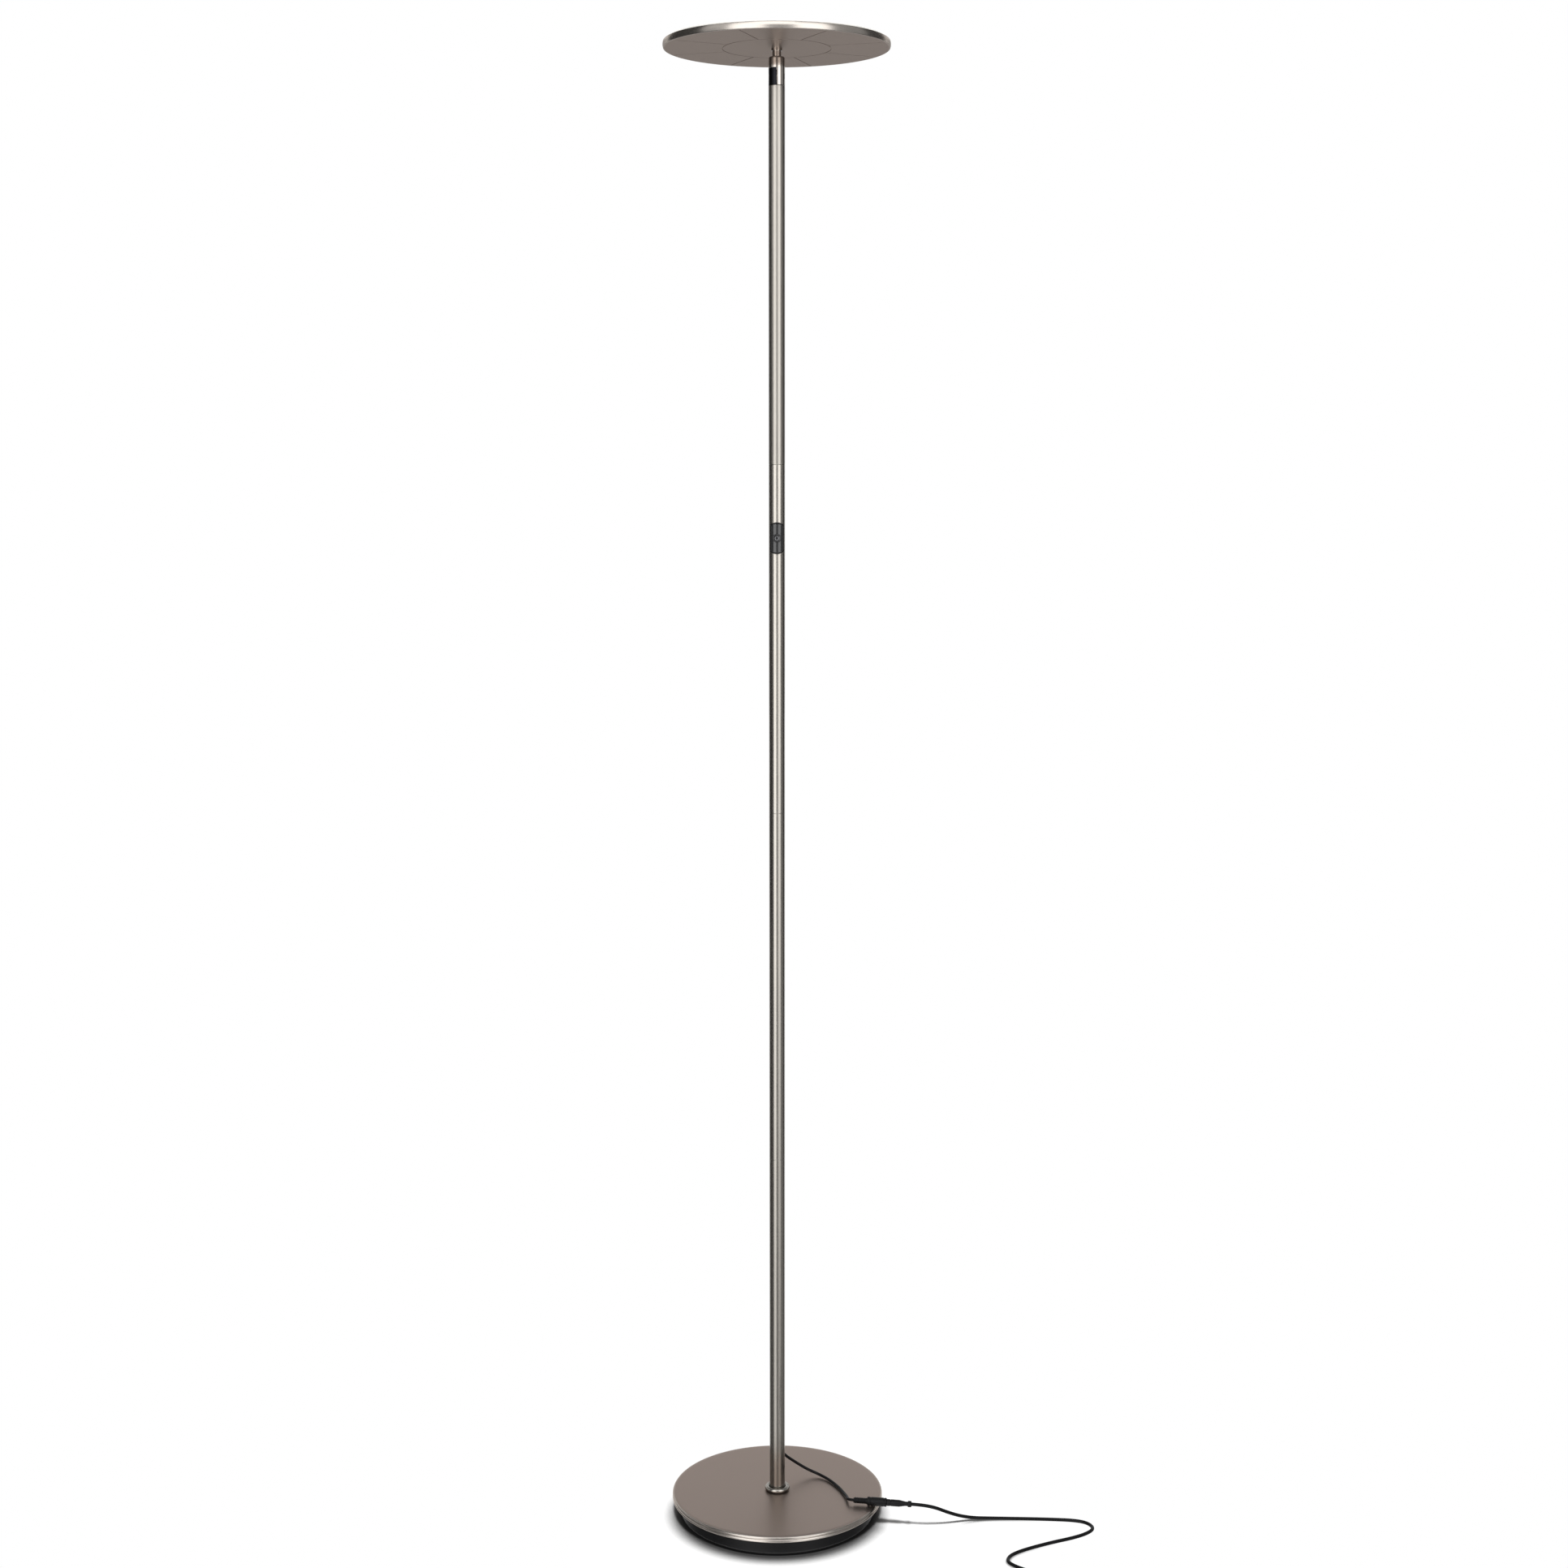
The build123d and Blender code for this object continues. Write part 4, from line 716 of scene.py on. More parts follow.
# The profiles of its halves: radius, and distance along the axis
JACK_PROFILE_MM = [
    (1.4, 0), (2.6, 0), (3.0, 0.5),
    *ribbed(1.0, 13.0, radius=3.3, depth=0.5, count=6),
    (3.3, 13.6), (3.3, 15.3), (4.3, 15.3), (4.8, 15.8), (4.8, 18.2), (4.45, 18.6), (4.45, 19.4),
    (4.8, 19.8), (4.8, 33.2), (4.45, 33.6), (4.45, 34.4), (4.8, 34.8), (4.8, 36.2), (4.3, 36.8),
    (3.6, 36.8), (3.6, 30), (1.4, 30), (1.4, 0),
]
PLUG_PROFILE_MM = [
    (1.7, 36.8), (3.3, 36.8), (3.7, 37.2), (3.7, 40.4), (3.4, 40.8), (3.4, 41.4), (3.7, 41.8),
    (3.7, 50.4), (3.55, 51.6), (3.0, 54.4), (2.4, 57.6), (2.4, 60.3), (3.0, 60.3), (3.4, 60.7),
    (3.4, 63.9), (3.0, 64.3), (1.7, 64.3), (1.7, 36.8),
]


class LAMP_OT_mould_connector(bpy.types.Operator):
    """Mould the in-line connector: the jack with its ringed boot, and the plug with its tapered tail"""

    bl_idname = "lamp.mould_connector"
    bl_label = "Mould the connector"

    def execute(self, context):
        for name, profile, node in (
            ("jack", JACK_PROFILE_MM, "dc_jack"),
            ("plug", PLUG_PROFILE_MM, "dc_plug"),
        ):
            half = turn_profile(name, profile, segments=48)
            round_edges(half, width_mm=0.15)
            set_down(half, CONNECTOR_START_MM, (0, math.pi / 2, CONNECTOR_HEADING))
            hand_over(half, "stand", "black_plastic", "black_plastic", node)
        return {"FINISHED"}


SWITCH_CENTRE_Z_MM = 1092.0
SWITCH_RADIUS_MM = 9.25
SWITCH_HALF_WIDTH_MM = 7.0
SWITCH_HALF_LENGTH_MM = 16.8
SWITCH_END_RISE_MM = 2.6
SWITCH_WALL_MM = 0.9
SWITCH_ROWS = 40
SWITCH_COLUMNS = 28
PANEL_WIDTH_SHARE = 0.87
PANEL_END_MM = 1.3
PANEL_EDGE_MM = 0.15
PANEL_DEPTH_MM = 0.2
BUTTON_RADIUS_MM = 4.5
BUTTON_GAP_MM = 0.12
BUTTON_HOLE_Y_MM = -8.5
BUTTON_HOLE_DEPTH_MM = 8
BUTTON_FACE_Y_MM = -9.95
# Radius, and height over the button's highest edge
BUTTON_PROFILE_MM = [
    (0, -0.3), (1.6, -0.26), (2.8, -0.16), (3.5, -0.04), (3.9, 0), (4.2, -0.04), (4.4, -0.18),
    (4.5, -0.45), (4.5, -2.6), (5.0, -2.6), (5.0, -3.2), (1.5, -3.2), (1.5, -4.5), (0, -4.5),
]
MARK_GAP = math.radians(40)
MARK_SINK_MM = 0.12
MARK_RING_MM = [(1.65, -0.2), (2.15, -0.2), (2.15, 0.08), (1.65, 0.08), (1.65, -0.2)]
MARK_BAR_PLACE_MM = Vector((0, 1.75, -0.06))
MARK_BAR_SIZE_MM = (0.5, 1.5, 0.28)
# Pieces of the switch are made lying down and then turned to face the front
FACING_FRONT = (math.pi / 2, 0, 0)


class LAMP_OT_mould_switch(bpy.types.Operator):
    """Mould the switch: a curved skin with a sunk panel, a dished button and its printed mark"""

    bl_idname = "lamp.mould_switch"
    bl_label = "Mould the switch"

    def execute(self, context):
        self.make_skin()
        self.make_button()
        self.make_mark()
        return {"FINISHED"}

    def half_length(self, across):
        """How far the skin reaches up and down, at a share of its half width."""
        return SWITCH_HALF_LENGTH_MM - SWITCH_END_RISE_MM * across ** 2

    def in_panel(self, place):
        """Whether a point of the skin lies inside the sunk panel."""
        across = abs(place.x / MM / SWITCH_HALF_WIDTH_MM)
        along = abs(place.z / MM - SWITCH_CENTRE_Z_MM)
        return across < PANEL_WIDTH_SHARE and along < self.half_length(across) - PANEL_END_MM

    def make_skin(self):
        sweep = 2 * math.asin(SWITCH_HALF_WIDTH_MM / SWITCH_RADIUS_MM)
        start = -math.pi / 2 - sweep / 2
        x = SWITCH_RADIUS_MM * math.cos(start)
        y = SWITCH_RADIUS_MM * math.sin(start)
        side = [(x, y, 2 * row / SWITCH_ROWS - 1) for row in range(SWITCH_ROWS + 1)]
        skin = draw_chain("switch_skin", side)
        bpy.ops.mesh.spin(steps=SWITCH_COLUMNS, angle=-sweep, center=(0, 0, 0), axis=(0, 0, 1))
        bpy.ops.object.mode_set(mode="OBJECT")
        for vertex in skin.data.vertices:
            reach = self.half_length(vertex.co.x / MM / SWITCH_HALF_WIDTH_MM)
            vertex.co.z = (SWITCH_CENTRE_Z_MM + vertex.co.z / MM * reach) * MM
        bpy.ops.object.mode_set(mode="EDIT")
        bpy.ops.mesh.select_all(action="SELECT")
        bpy.ops.mesh.normals_make_consistent(inside=False)
        bpy.ops.mesh.select_all(action="DESELECT")
        bpy.ops.object.mode_set(mode="OBJECT")
        for face in skin.data.polygons:
            face.select = self.in_panel(face.center)
        bpy.ops.object.mode_set(mode="EDIT")
        bpy.ops.mesh.inset(thickness=PANEL_EDGE_MM * MM, depth=-PANEL_DEPTH_MM * MM)
        bpy.ops.object.mode_set(mode="OBJECT")
        apply_modifier(skin, "SOLIDIFY", thickness=SWITCH_WALL_MM * MM, offset=-1)
        round_edges(skin, width_mm=0.12)
        bpy.ops.mesh.primitive_cylinder_add(
            vertices=64,
            radius=(BUTTON_RADIUS_MM + BUTTON_GAP_MM) * MM,
            depth=BUTTON_HOLE_DEPTH_MM * MM,
            location=(0, BUTTON_HOLE_Y_MM * MM, SWITCH_CENTRE_Z_MM * MM),
            rotation=FACING_FRONT,
        )
        cut(skin, bpy.context.object, "DIFFERENCE")
        hand_over(skin, "stand", "gloss_black_plastic", "gloss_black_plastic", "switch_housing")
        skin.data.materials.append(finish_for("black_plastic"))
        for face in skin.data.polygons:
            if not self.in_panel(face.center):
                face.material_index = 1

    def make_button(self):
        button = turn_profile("button_cap", BUTTON_PROFILE_MM, segments=64)
        set_down(button, (0, BUTTON_FACE_Y_MM, SWITCH_CENTRE_Z_MM), FACING_FRONT)
        hand_over(button, "button", "gloss_black_plastic", "gloss_black_plastic", "switch_button")

    def make_mark(self):
        """An open ring with a bar in its gap."""
        start = math.pi / 2 + MARK_GAP
        section = [(radius * math.cos(start), radius * math.sin(start), z) for radius, z in MARK_RING_MM]
        mark = draw_chain("button_mark", section)
        bpy.ops.mesh.spin(steps=40, angle=2 * MARK_GAP - 2 * math.pi, center=(0, 0, 0), axis=(0, 0, 1))
        close_up()
        bpy.ops.mesh.select_all(action="DESELECT")
        bpy.ops.mesh.select_non_manifold()
        bpy.ops.mesh.edge_face_add()
        bpy.ops.mesh.primitive_cube_add(size=MM, location=MARK_BAR_PLACE_MM * MM, scale=MARK_BAR_SIZE_MM)
        close_up()
        bpy.ops.object.mode_set(mode="OBJECT")
        round_edges(mark, width_mm=0.06)
        set_down(mark, (0, BUTTON_FACE_Y_MM + MARK_SINK_MM, SWITCH_CENTRE_Z_MM), FACING_FRONT)
        hand_over(mark, "button", "gloss_black_plastic", "mark_paint")


PIVOT_Z_MM = 1564.85
CAP_CROWN_RADIUS_MM = 8.45
CAP_CUTTER_LENGTH_MM = 20
# Radius, and distance out along the pivot
CAP_PROFILE_MM = [(0, 6.2), (3.95, 6.2), (3.95, 9), (3.55, 9), (3.55, 8.9), (0, 8.9)]


class LAMP_OT_turn_pivot_caps(bpy.types.Operator):
    """Turn the two caps that close the ends of the pivot flush with the knuckle"""

    bl_idname = "lamp.turn_pivot_caps"
    bl_label = "Turn the pivot caps"

    def execute(self, context):
        for name, turn, body, node in (
            ("cap_left", -math.pi / 2, "stand", "pivot_cap_left"),
            ("cap_right", math.pi / 2, "head", "pivot_cap_right"),
        ):
            cap = turn_profile(name, CAP_PROFILE_MM, segments=48)
            set_down(cap, (0, 0, PIVOT_Z_MM), (0, turn, 0))
            bpy.ops.mesh.primitive_cylinder_add(
                vertices=160,
                radius=CAP_CROWN_RADIUS_MM * MM,
                depth=CAP_CUTTER_LENGTH_MM * MM,
                location=(0, 0, PIVOT_Z_MM * MM),
            )
            cut(cap, bpy.context.object, "INTERSECT")
            round_edges(cap, width_mm=0.2)
            hand_over(cap, body, "polished_nickel", "polished_nickel", node)
        return {"FINISHED"}


COIL_CENTRE_MM = (285.0, -196.0)
TIE_ANGLE = math.radians(175)
# The tie's inner lower and outer upper corner: distance from the coil's centre, and height
TIE_LOW_MM = (9.6, 0.5)
TIE_HIGH_MM = (33.0, 9.6)
TIE_CORNER_MM = 3.0
TIE_WIDTH_MM = 6
TIE_THICKNESS_MM = 0.45


class LAMP_OT_wrap_tie(bpy.types.Operator):
    """Wrap the soft strap that holds the coil"""

    bl_idname = "lamp.wrap_tie"
    bl_label = "Wrap the tie"

    def execute(self, context):
        outline = rounded_rectangle(TIE_LOW_MM, TIE_HIGH_MM, TIE_CORNER_MM, steps=6)
        tie = draw_loop("tie", [(x, -TIE_WIDTH_MM / 2, z) for x, z in outline])
        bpy.ops.mesh.extrude_region_move(TRANSFORM_OT_translate={"value": (0, TIE_WIDTH_MM * MM, 0)})
        close_up()
        bpy.ops.object.mode_set(mode="OBJECT")
        apply_modifier(tie, "SOLIDIFY", thickness=TIE_THICKNESS_MM * MM, offset=0)
        round_edges(tie, width_mm=0.12)
        set_down(tie, (COIL_CENTRE_MM[0], COIL_CENTRE_MM[1], 0), (0, 0, TIE_ANGLE))
        hand_over(tie, "stand", "cord_vinyl", "cord_vinyl", "cord_tie")
        return {"FINISHED"}


ADAPTER_CENTRE_MM = (212.0, -240.0, 0.0)
ADAPTER_SIZE_MM = (64.0, 40.0, 28.0)
ADAPTER_CORNER_MM = 4.0
ADAPTER_EDGE_MM = 1.8
ADAPTER_WALL_MM = 1.8
# The groove where the case's halves part: height, and how far the case is drawn in
ADAPTER_GROOVE_MM = [(13.6, 0), (13.8, 0.5), (14.2, 0.5), (14.4, 0)]
# The panel sunk in its top: depth, and how far in from the sides
ADAPTER_PANEL_MM = [(0, 7), (0.4, 7.3)]
# The grips are round grooves, whose axes stand a little out from the case's sides
GRIP_PLACES_MM = (10.0, 13.2, 16.4, 19.6, 22.8)
GRIP_RADIUS_MM = 1.5
GRIP_LENGTH_MM = 16
GRIP_OUT_MM = 1.05
BOOT_PLACE_MM = (244.0, -240.0, 5.0)
BOOT_BORE_RADIUS_MM = 1.7
BOOT_ROOT_RADIUS_MM = 2.7
BOOT_ROOT_MM = 3.4
BOOT_RADIUS_MM = 4.0
BOOT_LENGTH_MM = 13
BOOT_TAPER_MM = 1.2
BOOT_RINGS = 5
BOOT_FIRST_RING_MM = 0.9
BOOT_PITCH_MM = 2.3
# One ring of the boot: distance in from the taper, and distance along
BOOT_RING_MM = ((0.6, 0.25), (0.6, 0.85), (0.05, 1.1), (0.15, 2.2))
BOOT_END_MM = [(2.8, 12.6), (2.5, 13)]


class LAMP_OT_mould_adapter(bpy.types.Operator):
    """Mould the adapter's case, with a parting groove, a bare panel and grips, and its ringed boot"""

    bl_idname = "lamp.mould_adapter"
    bl_label = "Mould the adapter"

    def execute(self, context):
        self.make_case()
        self.make_boot()
        return {"FINISHED"}

    def make_case(self):
        length, width, height = ADAPTER_SIZE_MM
        corner = (length / 2, width / 2)
        outline = rounded_rectangle((-corner[0], -corner[1]), corner, ADAPTER_CORNER_MM, steps=8)
        case = draw_loop("adapter_shell", [(x, y, 0) for x, y in outline])
        bpy.ops.mesh.edge_face_add()
        edge = arc((ADAPTER_EDGE_MM, ADAPTER_EDGE_MM), ADAPTER_EDGE_MM, math.pi, 1.5 * math.pi, steps=6)
        top = [(height - depth, inset) for depth, inset in edge[::-1] + ADAPTER_PANEL_MM]
        before_z, before_inset = 0, 0
        for level, (z, inset) in enumerate(edge + ADAPTER_GROOVE_MM + top):
            if level > 0:
                rise = (0, 0, (z - before_z) * MM)
                bpy.ops.mesh.extrude_region_move(TRANSFORM_OT_translate={"value": rise})
            narrower = [(side - 2 * inset) / (side - 2 * before_inset) for side in (length, width)]
            bpy.ops.transform.resize(value=(narrower[0], narrower[1], 1), center_override=(0, 0, 0))
            before_z, before_inset = z, inset
        close_up()
        bpy.ops.object.mode_set(mode="OBJECT")
        inside = [side - 2 * ADAPTER_WALL_MM for side in ADAPTER_SIZE_MM]
        bpy.ops.mesh.primitive_cube_add(size=MM, location=(0, 0, height / 2 * MM), scale=inside)
        cut(case, bpy.context.object, "DIFFERENCE")
        for side in (-1, 1):
            for x in GRIP_PLACES_MM:
                bpy.ops.mesh.primitive_cylinder_add(
                    vertices=32,
                    radius=GRIP_RADIUS_MM * MM,
                    depth=GRIP_LENGTH_MM * MM,
                    location=(x * MM, side * (width / 2 + GRIP_OUT_MM) * MM, height / 2 * MM),
                )
                cut(case, bpy.context.object, "DIFFERENCE")
        set_down(case, ADAPTER_CENTRE_MM, (0, 0, 0))
        hand_over(case, "stand", "black_plastic", "black_plastic", "adapter_case_top", "adapter_case_bottom")

    def make_boot(self):
        profile = [
            (BOOT_BORE_RADIUS_MM, -BOOT_ROOT_MM),
            (BOOT_ROOT_RADIUS_MM, -BOOT_ROOT_MM),
            (BOOT_ROOT_RADIUS_MM, 0),
            (BOOT_RADIUS_MM, 0),
            (BOOT_RADIUS_MM, BOOT_FIRST_RING_MM),
        ]
        for ring in range(BOOT_RINGS):
            start = BOOT_FIRST_RING_MM + BOOT_PITCH_MM * ring
            radius = BOOT_RADIUS_MM - BOOT_TAPER_MM * start / BOOT_LENGTH_MM
            profile += [(radius - inward, start + along) for inward, along in BOOT_RING_MM]
        profile += BOOT_END_MM + [(BOOT_BORE_RADIUS_MM, BOOT_LENGTH_MM), profile[0]]
        boot = turn_profile("adapter_sleeve", profile, segments=40)
        round_edges(boot, width_mm=0.12)
        set_down(boot, BOOT_PLACE_MM, (0, math.pi / 2, 0))
        hand_over(boot, "stand", "cord_vinyl", "cord_vinyl", "adapter_boot")


def cord_curve(name, points_mm, diameter):
    """A smooth round cord on one spline whose control points are the route's, in millimetres."""
    curve = bpy.data.curves.new(name, "CURVE")
    curve.dimensions = "3D"
    curve.bevel_depth = diameter / 2
    curve.bevel_resolution = 6
    curve.resolution_u = 8
    curve.use_fill_caps = True
    spline = curve.splines.new("NURBS")
    spline.points.add(len(points_mm) - 1)
    for point, place in zip(spline.points, points_mm):
        point.co = (place[0] * MM, place[1] * MM, place[2] * MM, 1.0)
    spline.order_u = 3
    spline.use_endpoint_u = True
    cord = bpy.data.objects.new(name, curve)
    bpy.context.scene.collection.objects.link(cord)
    return cord


# How far the lead and the cord run straight at the connector
LEAD_STRAIGHT_MM = 6
CORD_STRAIGHT_MM = 12
LEAD_ROUTE_MM = [
    (0, 6, 76), (0, 18, 75.5), (1, 26, 66), (8, 31, 54.5), (21, 34.5, 44), (34, 35, 35.5),
    (48, 31.5, 30.8), (59.5, 18.5, 30), (68.5, 1.5, 30), (74.5, -14.5, 30.2), (78, -28, 31.4),
    CONNECTOR_START_MM - CONNECTOR_AXIS * LEAD_STRAIGHT_MM,
    CONNECTOR_START_MM,
]


class LAMP_OT_lay_lead(bpy.types.Operator):
    """Lay the thin lead from the back of the pole to the connector"""

    bl_idname = "lamp.lay_lead"
    bl_label = "Lay the lead"

    def execute(self, context):
        diameter = context.scene.lamp_sizes.lead_diameter
        lead = cord_curve("lead", LEAD_ROUTE_MM, diameter)
        dress(lead, finish_for("cord_vinyl"))
        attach(lead, "stand")
        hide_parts("lead_cord")
        return {"FINISHED"}


CORD_ROUTE_MM = [
    CONNECTOR_START_MM + CONNECTOR_AXIS * CONNECTOR_LENGTH_MM,
    CONNECTOR_START_MM + CONNECTOR_AXIS * (CONNECTOR_LENGTH_MM + CORD_STRAIGHT_MM),
    (174.5, -47.5, 28.5), (188, -39.5, 19.5), (202, -29.5, 10.5), (218, -20.6, 3.6), (238, -18.4, 2.1),
    (262, -18.8, 1.9), (288, -19.9, 1.9), (312, -21.4, 1.9), (331, -23.4, 1.9), (345.2, -29.0, 1.9),
    (351.2, -42.6, 1.9), (342.2, -54.8, 1.9), (325, -65.6, 1.9), (302, -75.6, 1.9), (281, -86.4, 1.9),
    (264, -96.4, 1.9), (251.4, -107, 1.9), (247, -120.4, 1.9), (255.2, -131.6, 1.9), (269, -142.2, 1.9),
    (284, -155.2, 2.2),
]
COIL_START_ANGLE = math.radians(48)
COIL_TURNS = 33 / 4
COIL_INNER_RADIUS_MM = 12.4
COIL_PITCH_MM = 4.3
COIL_LOWER_Z_MM = 2.9
COIL_POINTS_PER_TURN = 24
TAIL_ROUTE_MM = [(286, -234, 5.6), (274, -239, 4.6), (264, -240, 5), (257, -240, 5), (247.5, -240, 5)]


def coil_points():
    """The coil: it spirals in on the floor, climbs a layer in half a turn, and spirals out on top."""
    count = round(COIL_TURNS * COIL_POINTS_PER_TURN)
    points = []
    for index in range(count + 1):
        turn = index / COIL_POINTS_PER_TURN
        from_middle = turn - COIL_TURNS / 2
        angle = COIL_START_ANGLE - turn * 2 * math.pi
        radius = COIL_INNER_RADIUS_MM + COIL_PITCH_MM * abs(from_middle)
        climb = min(max(2 * from_middle + 0.5, 0), 1)
        points.append((
            COIL_CENTRE_MM[0] + radius * math.cos(angle),
            COIL_CENTRE_MM[1] + radius * math.sin(angle),
            COIL_LOWER_Z_MM + COIL_PITCH_MM * climb,
        ))
    return points


class LAMP_OT_lay_cord(bpy.types.Operator):
    """Lay the cord from the connector over the floor, coil its spare length and end it in the adapter"""

    bl_idname = "lamp.lay_cord"
    bl_label = "Lay the cord"

    def execute(self, context):
        diameter = context.scene.lamp_sizes.cord_diameter
        cord = cord_curve("cord", CORD_ROUTE_MM + coil_points() + TAIL_ROUTE_MM, diameter)
        dress(cord, finish_for("cord_vinyl"))
        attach(cord, "stand")
        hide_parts("power_cord", "cord_coil", "power_cord_tail")
        return {"FINISHED"}


WHITE = (1.0, 1.0, 1.0, 1.0)
# A card's fade: the heights from and to which it changes, and the share of its strength that it has below
NO_FADE = (-1.0, 0.0, 1.0)
FLAG_FADE = (-1.1, -0.09, 2.5)
# Upright cards that face the pole: name, degrees round from the front, width, distance, lowest and highest
# point, strength and fade
STRIPS = (
    ("strip_left", -28.5, 1.13, 1.8, (-0.95, 2.6), 3.6, (-0.7, 0.5, 0.4)),
    ("strip_right", 35, 1.13, 1.8, (-0.95, 2.6), 3.6, (-0.7, 1.1, 0.18)),
    ("bounce_left", -28.5, 1.13, 1.8, (-3.2, -0.95), 3.6, NO_FADE),
    ("bounce_right", 35, 1.13, 1.8, (-3.2, -0.95), 3.0, NO_FADE),
    ("fill_left", -63, 0.34, 0.85, (-1.6, 2.6), 1.1, (0.8, 1.8, 0.2)),
    ("fill_right", 75, 0.64, 0.85, (-1.6, 2.6), 0.6, (0.8, 1.9, 0.7)),
    ("front", 0, 1.2, 2.1, (-1.8, 2.0), 0.72, (-0.6, 0.7, 0.45)),
)
# Other cards: name, low corner, high corner, strength and fade. The flags at the sides are dark, and their
# lower halves stand further out, so the base still sees the white room from the sides
CARDS = (
    ("softbox_top", (-1.1, -2.1, 1.98), (0.8, -2.1, 3.4), 3.5, NO_FADE),
    ("flag_left", (-0.9, -0.5, 0.55), (-0.9, 0.85, 3.0), 0.09, NO_FADE),
    ("flag_low_left", (-2.4, -1.33, -2.6), (-2.4, 2.27, 0.3), 0.09, FLAG_FADE),
    ("flag_right", (0.9, -0.5, 0.55), (0.9, 0.85, 3.0), 0.11, NO_FADE),
    ("flag_low_right", (2.4, -1.33, -2.6), (2.4, 2.27, 0.3), 0.11, FLAG_FADE),
    ("flag_back", (-0.7, 0.9, 0.8), (0.7, 0.9, 1.8), 0.5, NO_FADE),
)
KEY_PLACE = Vector((0, -1.85, 2.55))
KEY_ANGLE = math.radians(7)
# The white room: full where it is seen or mirrored, and faint as a light on matt surfaces
ROOM_LIGHT = {"To Min": 0.06, "To Max": 1.0}
FLOOR_WIDTH = 12
SENSOR_WIDTH_MM = 36
# The floor's painted contact shade, which darkens its colour near things: how near they must be, how it
# maps, and how much the camera's view of it is lifted
PAINTED_SHADE_REACH_MM = 30
PAINTED_CONTACT_SHADE = {"From Min": 0.37, "From Max": 0.92, "To Min": 0.05, "To Max": 0.98}
FLOOR_LIFT = 0.11
# Where the floor keeps its shadows, round the base and round the adapter: the patch's centre, and the radii
# from and to which it fades to white
SHADED_PATCHES = (((0.04, -0.08, 0), (0.18, 0.27)), ((0.235, -0.25, 0), (0.09, 0.12)))


def card(name, low, high, strength, fade):
    """A flat studio card, seen in reflections alone: bright as a softbox, or dark as a flag."""
    deselect_all()
    bpy.ops.mesh.primitive_plane_add(size=1)
    piece = bpy.context.object
    piece.name = name
    corners = (
        (low[0], low[1], low[2]),
        (high[0], high[1], low[2]),
        (low[0], low[1], high[2]),
        (high[0], high[1], high[2]),
    )
    for vertex, corner in zip(piece.data.vertices, corners):
        vertex.co = corner
    material, tree = blank_material(name)
    place = add_node(tree, "ShaderNodeTexCoord")
    height = add_node(tree, "ShaderNodeSeparateXYZ", links={"Vector": place.outputs["Object"]})
    level = add_node(
        tree,
        "ShaderNodeMapRange",
        links={"Value": height.outputs["Z"]},
        inputs={
            "From Min": fade[0],
            "From Max": fade[1],
            "To Min": strength * fade[2],
            "To Max": strength,
        },
    )
    glow = add_node(
        tree, "ShaderNodeEmission", links={"Strength": level.outputs["Result"]}, inputs={"Color": WHITE}
    )
    add_node(tree, "ShaderNodeOutputMaterial", links={"Surface": glow.outputs["Emission"]})
    material.cycles.emission_sampling = "NONE"
    dress(piece, material)
    for ray in ("camera", "diffuse", "shadow", "transmission", "volume_scatter"):
        setattr(piece, "visible_" + ray, False)


def strip_card(name, degrees, width, distance, heights, strength, fade):
    """An upright card that faces the pole, at an angle round from the front."""
    angle = math.radians(degrees)
    out = Vector((math.sin(angle), -math.cos(angle), 0))
    across = Vector((math.cos(angle), math.sin(angle), 0))
    left = out * distance - across * width / 2
    right = out * distance + across * width / 2
    card(name, (left.x, left.y, heights[0]), (right.x, right.y, heights[1]), strength, fade)


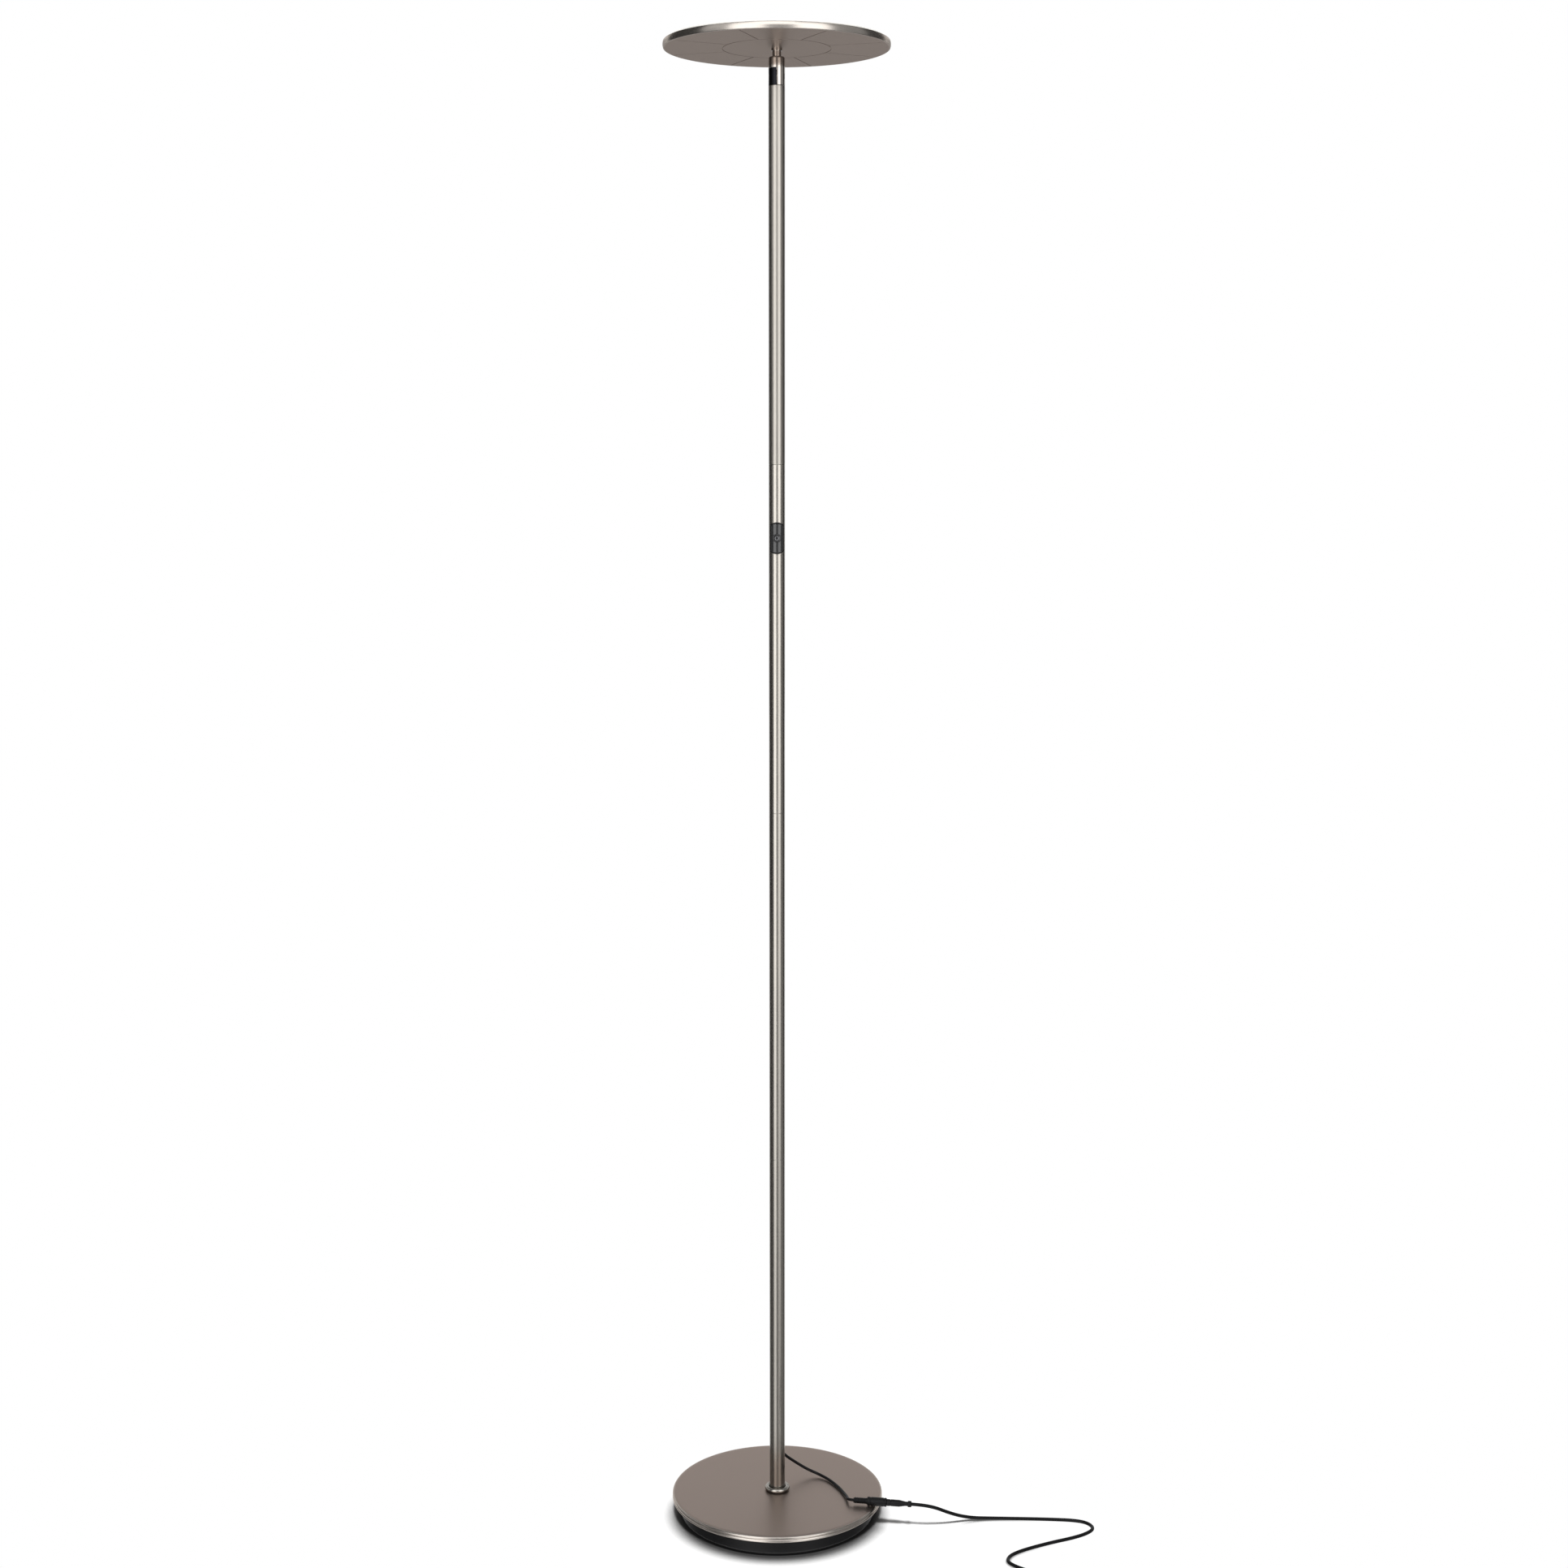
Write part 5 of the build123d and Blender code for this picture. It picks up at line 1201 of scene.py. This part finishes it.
class LAMP_OT_set_stage(bpy.types.Operator):
    """Set the floor, the lights and the camera"""

    bl_idname = "lamp.set_stage"
    bl_label = "Set the stage"

    def execute(self, context):
        self.make_floor()
        self.make_world(context.scene)
        self.make_lights(context.scene)
        self.make_camera(context.scene)
        context.scene.view_settings.view_transform = "Standard"
        return {"FINISHED"}

    def make_floor(self):
        deselect_all()
        bpy.ops.mesh.primitive_plane_add(size=FLOOR_WIDTH)
        floor = bpy.context.object
        floor.name = "floor"
        material, tree = blank_material("floor_white_paper")
        paper = self.paper_with_painted_shade(tree)
        white = add_node(tree, "ShaderNodeEmission", inputs={"Color": WHITE, "Strength": 1.0})
        mixed = add_node(
            tree,
            "ShaderNodeMixShader",
            links={0: self.patch_fade(tree), 1: paper, 2: white.outputs["Emission"]},
        )
        add_node(tree, "ShaderNodeOutputMaterial", links={"Surface": mixed.outputs["Shader"]})
        dress(floor, material)
        floor.visible_glossy = False

    def paper_with_painted_shade(self, tree):
        """White paper whose colour is darkened by painted shade where things stand close, and is lifted for
        the camera elsewhere.
        """
        # An occlusion node paints shade into the paper's colour, and dims the camera's lift with it
        nearby = add_node(tree, "ShaderNodeAmbientOcclusion", inputs={"Distance": PAINTED_SHADE_REACH_MM * MM})
        shading = add_node(
            tree,
            "ShaderNodeMapRange",
            links={"Value": nearby.outputs["AO"]},
            inputs=PAINTED_CONTACT_SHADE,
            interpolation_type="SMOOTHSTEP",
        )
        sheet = add_node(tree, "ShaderNodeBsdfDiffuse", links={"Color": shading.outputs["Result"]})
        path = add_node(tree, "ShaderNodeLightPath")
        seen = add_node(
            tree,
            "ShaderNodeMath",
            links={0: path.outputs["Is Camera Ray"], 1: shading.outputs["Result"]},
            operation="MULTIPLY",
        )
        level = add_node(
            tree, "ShaderNodeMapRange", links={"Value": seen.outputs["Value"]}, inputs={"To Max": FLOOR_LIFT}
        )
        lift = add_node(
            tree, "ShaderNodeEmission", links={"Strength": level.outputs["Result"]}, inputs={"Color": WHITE}
        )
        paper = add_node(
            tree, "ShaderNodeAddShader", links={0: sheet.outputs["BSDF"], 1: lift.outputs["Emission"]}
        )
        return paper.outputs["Shader"]

    def patch_fade(self, tree):
        """How far the floor has faded to white: not at all inside the shaded patches."""
        place = add_node(tree, "ShaderNodeTexCoord")
        fades = []
        for centre, radii in SHADED_PATCHES:
            reach = add_node(
                tree,
                "ShaderNodeVectorMath",
                links={0: place.outputs["Object"]},
                inputs={1: centre},
                operation="DISTANCE",
            )
            faded = add_node(
                tree,
                "ShaderNodeMapRange",
                links={"Value": reach.outputs["Value"]},
                inputs={"From Min": radii[0], "From Max": radii[1]},
                interpolation_type="SMOOTHSTEP",
            )
            fades.append(faded.outputs["Result"])
        least = add_node(tree, "ShaderNodeMath", links={0: fades[0], 1: fades[1]}, operation="MINIMUM")
        return least.outputs["Value"]

    def make_world(self, scene):
        world = bpy.data.worlds.new("studio")
        scene.world = world
        world.use_nodes = True
        tree = world.node_tree
        tree.nodes.clear()
        path = add_node(tree, "ShaderNodeLightPath")
        seen = path.outputs["Is Camera Ray"]
        for ray in ("Is Glossy Ray", "Is Transmission Ray"):
            either = add_node(
                tree, "ShaderNodeMath", links={0: seen, 1: path.outputs[ray]}, operation="MAXIMUM"
            )
            seen = either.outputs["Value"]
        strength = add_node(tree, "ShaderNodeMapRange", links={"Value": seen}, inputs=ROOM_LIGHT)
        sky = add_node(
            tree,
            "ShaderNodeBackground",
            links={"Strength": strength.outputs["Result"]},
            inputs={"Color": WHITE},
        )
        add_node(tree, "ShaderNodeOutputWorld", links={"Surface": sky.outputs["Background"]})

    def make_lights(self, scene):
        key = bpy.data.lights.new("key", "SUN")
        key.angle = KEY_ANGLE
        key.energy = scene.lamp_stage.key_strength
        lamp = bpy.data.objects.new("key", key)
        lamp.location = KEY_PLACE
        lamp.rotation_euler = (-KEY_PLACE).to_track_quat("-Z", "Y").to_euler()
        lamp.visible_camera = False
        lamp.visible_glossy = False
        scene.collection.objects.link(lamp)
        for strip in STRIPS:
            strip_card(*strip)
        for flat in CARDS:
            card(*flat)

    def make_camera(self, scene):
        camera = bpy.data.cameras.new("camera")
        camera.sensor_width = SENSOR_WIDTH_MM
        camera.lens = scene.lamp_stage.camera_lens
        stand = bpy.data.objects.new("camera", camera)
        stand.location = scene.lamp_stage.camera_place
        stand.rotation_euler = (math.pi / 2 - scene.lamp_stage.camera_pitch, 0, 0)
        scene.collection.objects.link(stand)
        scene.camera = stand


OPERATORS = (
    LAMP_OT_finish_nodes,
    LAMP_OT_spin_base_cover,
    LAMP_OT_turn_foot_ring,
    LAMP_OT_mould_connector,
    LAMP_OT_mould_switch,
    LAMP_OT_turn_pivot_caps,
    LAMP_OT_wrap_tie,
    LAMP_OT_mould_adapter,
    LAMP_OT_lay_lead,
    LAMP_OT_lay_cord,
    LAMP_OT_set_stage,
)


class LAMP_PT_panel(bpy.types.Panel):
    bl_label = "Torchiere floor lamp"
    bl_idname = "LAMP_PT_panel"
    bl_space_type = "VIEW_3D"
    bl_region_type = "UI"
    bl_category = "Lamp"

    def draw(self, context):
        for operator in OPERATORS:
            self.layout.operator(operator.bl_idname)


CLASSES = (LampSizes, LampColours, LampStage) + OPERATORS + (LAMP_PT_panel,)


def register():
    for item in CLASSES:
        bpy.utils.register_class(item)
    bpy.types.Scene.lamp_sizes = bpy.props.PointerProperty(type=LampSizes)
    bpy.types.Scene.lamp_colours = bpy.props.PointerProperty(type=LampColours)
    bpy.types.Scene.lamp_stage = bpy.props.PointerProperty(type=LampStage)


def unregister():
    del bpy.types.Scene.lamp_stage
    del bpy.types.Scene.lamp_colours
    del bpy.types.Scene.lamp_sizes
    for item in reversed(CLASSES):
        bpy.utils.unregister_class(item)


def main():
    register()
    bpy.ops.lamp.finish_nodes()
    bpy.ops.lamp.spin_base_cover()
    bpy.ops.lamp.turn_foot_ring()
    bpy.ops.lamp.mould_connector()
    bpy.ops.lamp.mould_switch()
    bpy.ops.lamp.turn_pivot_caps()
    bpy.ops.lamp.wrap_tie()
    bpy.ops.lamp.mould_adapter()
    bpy.ops.lamp.lay_lead()
    bpy.ops.lamp.lay_cord()
    bpy.ops.lamp.set_stage()


if __name__ == "__main__":
    main()
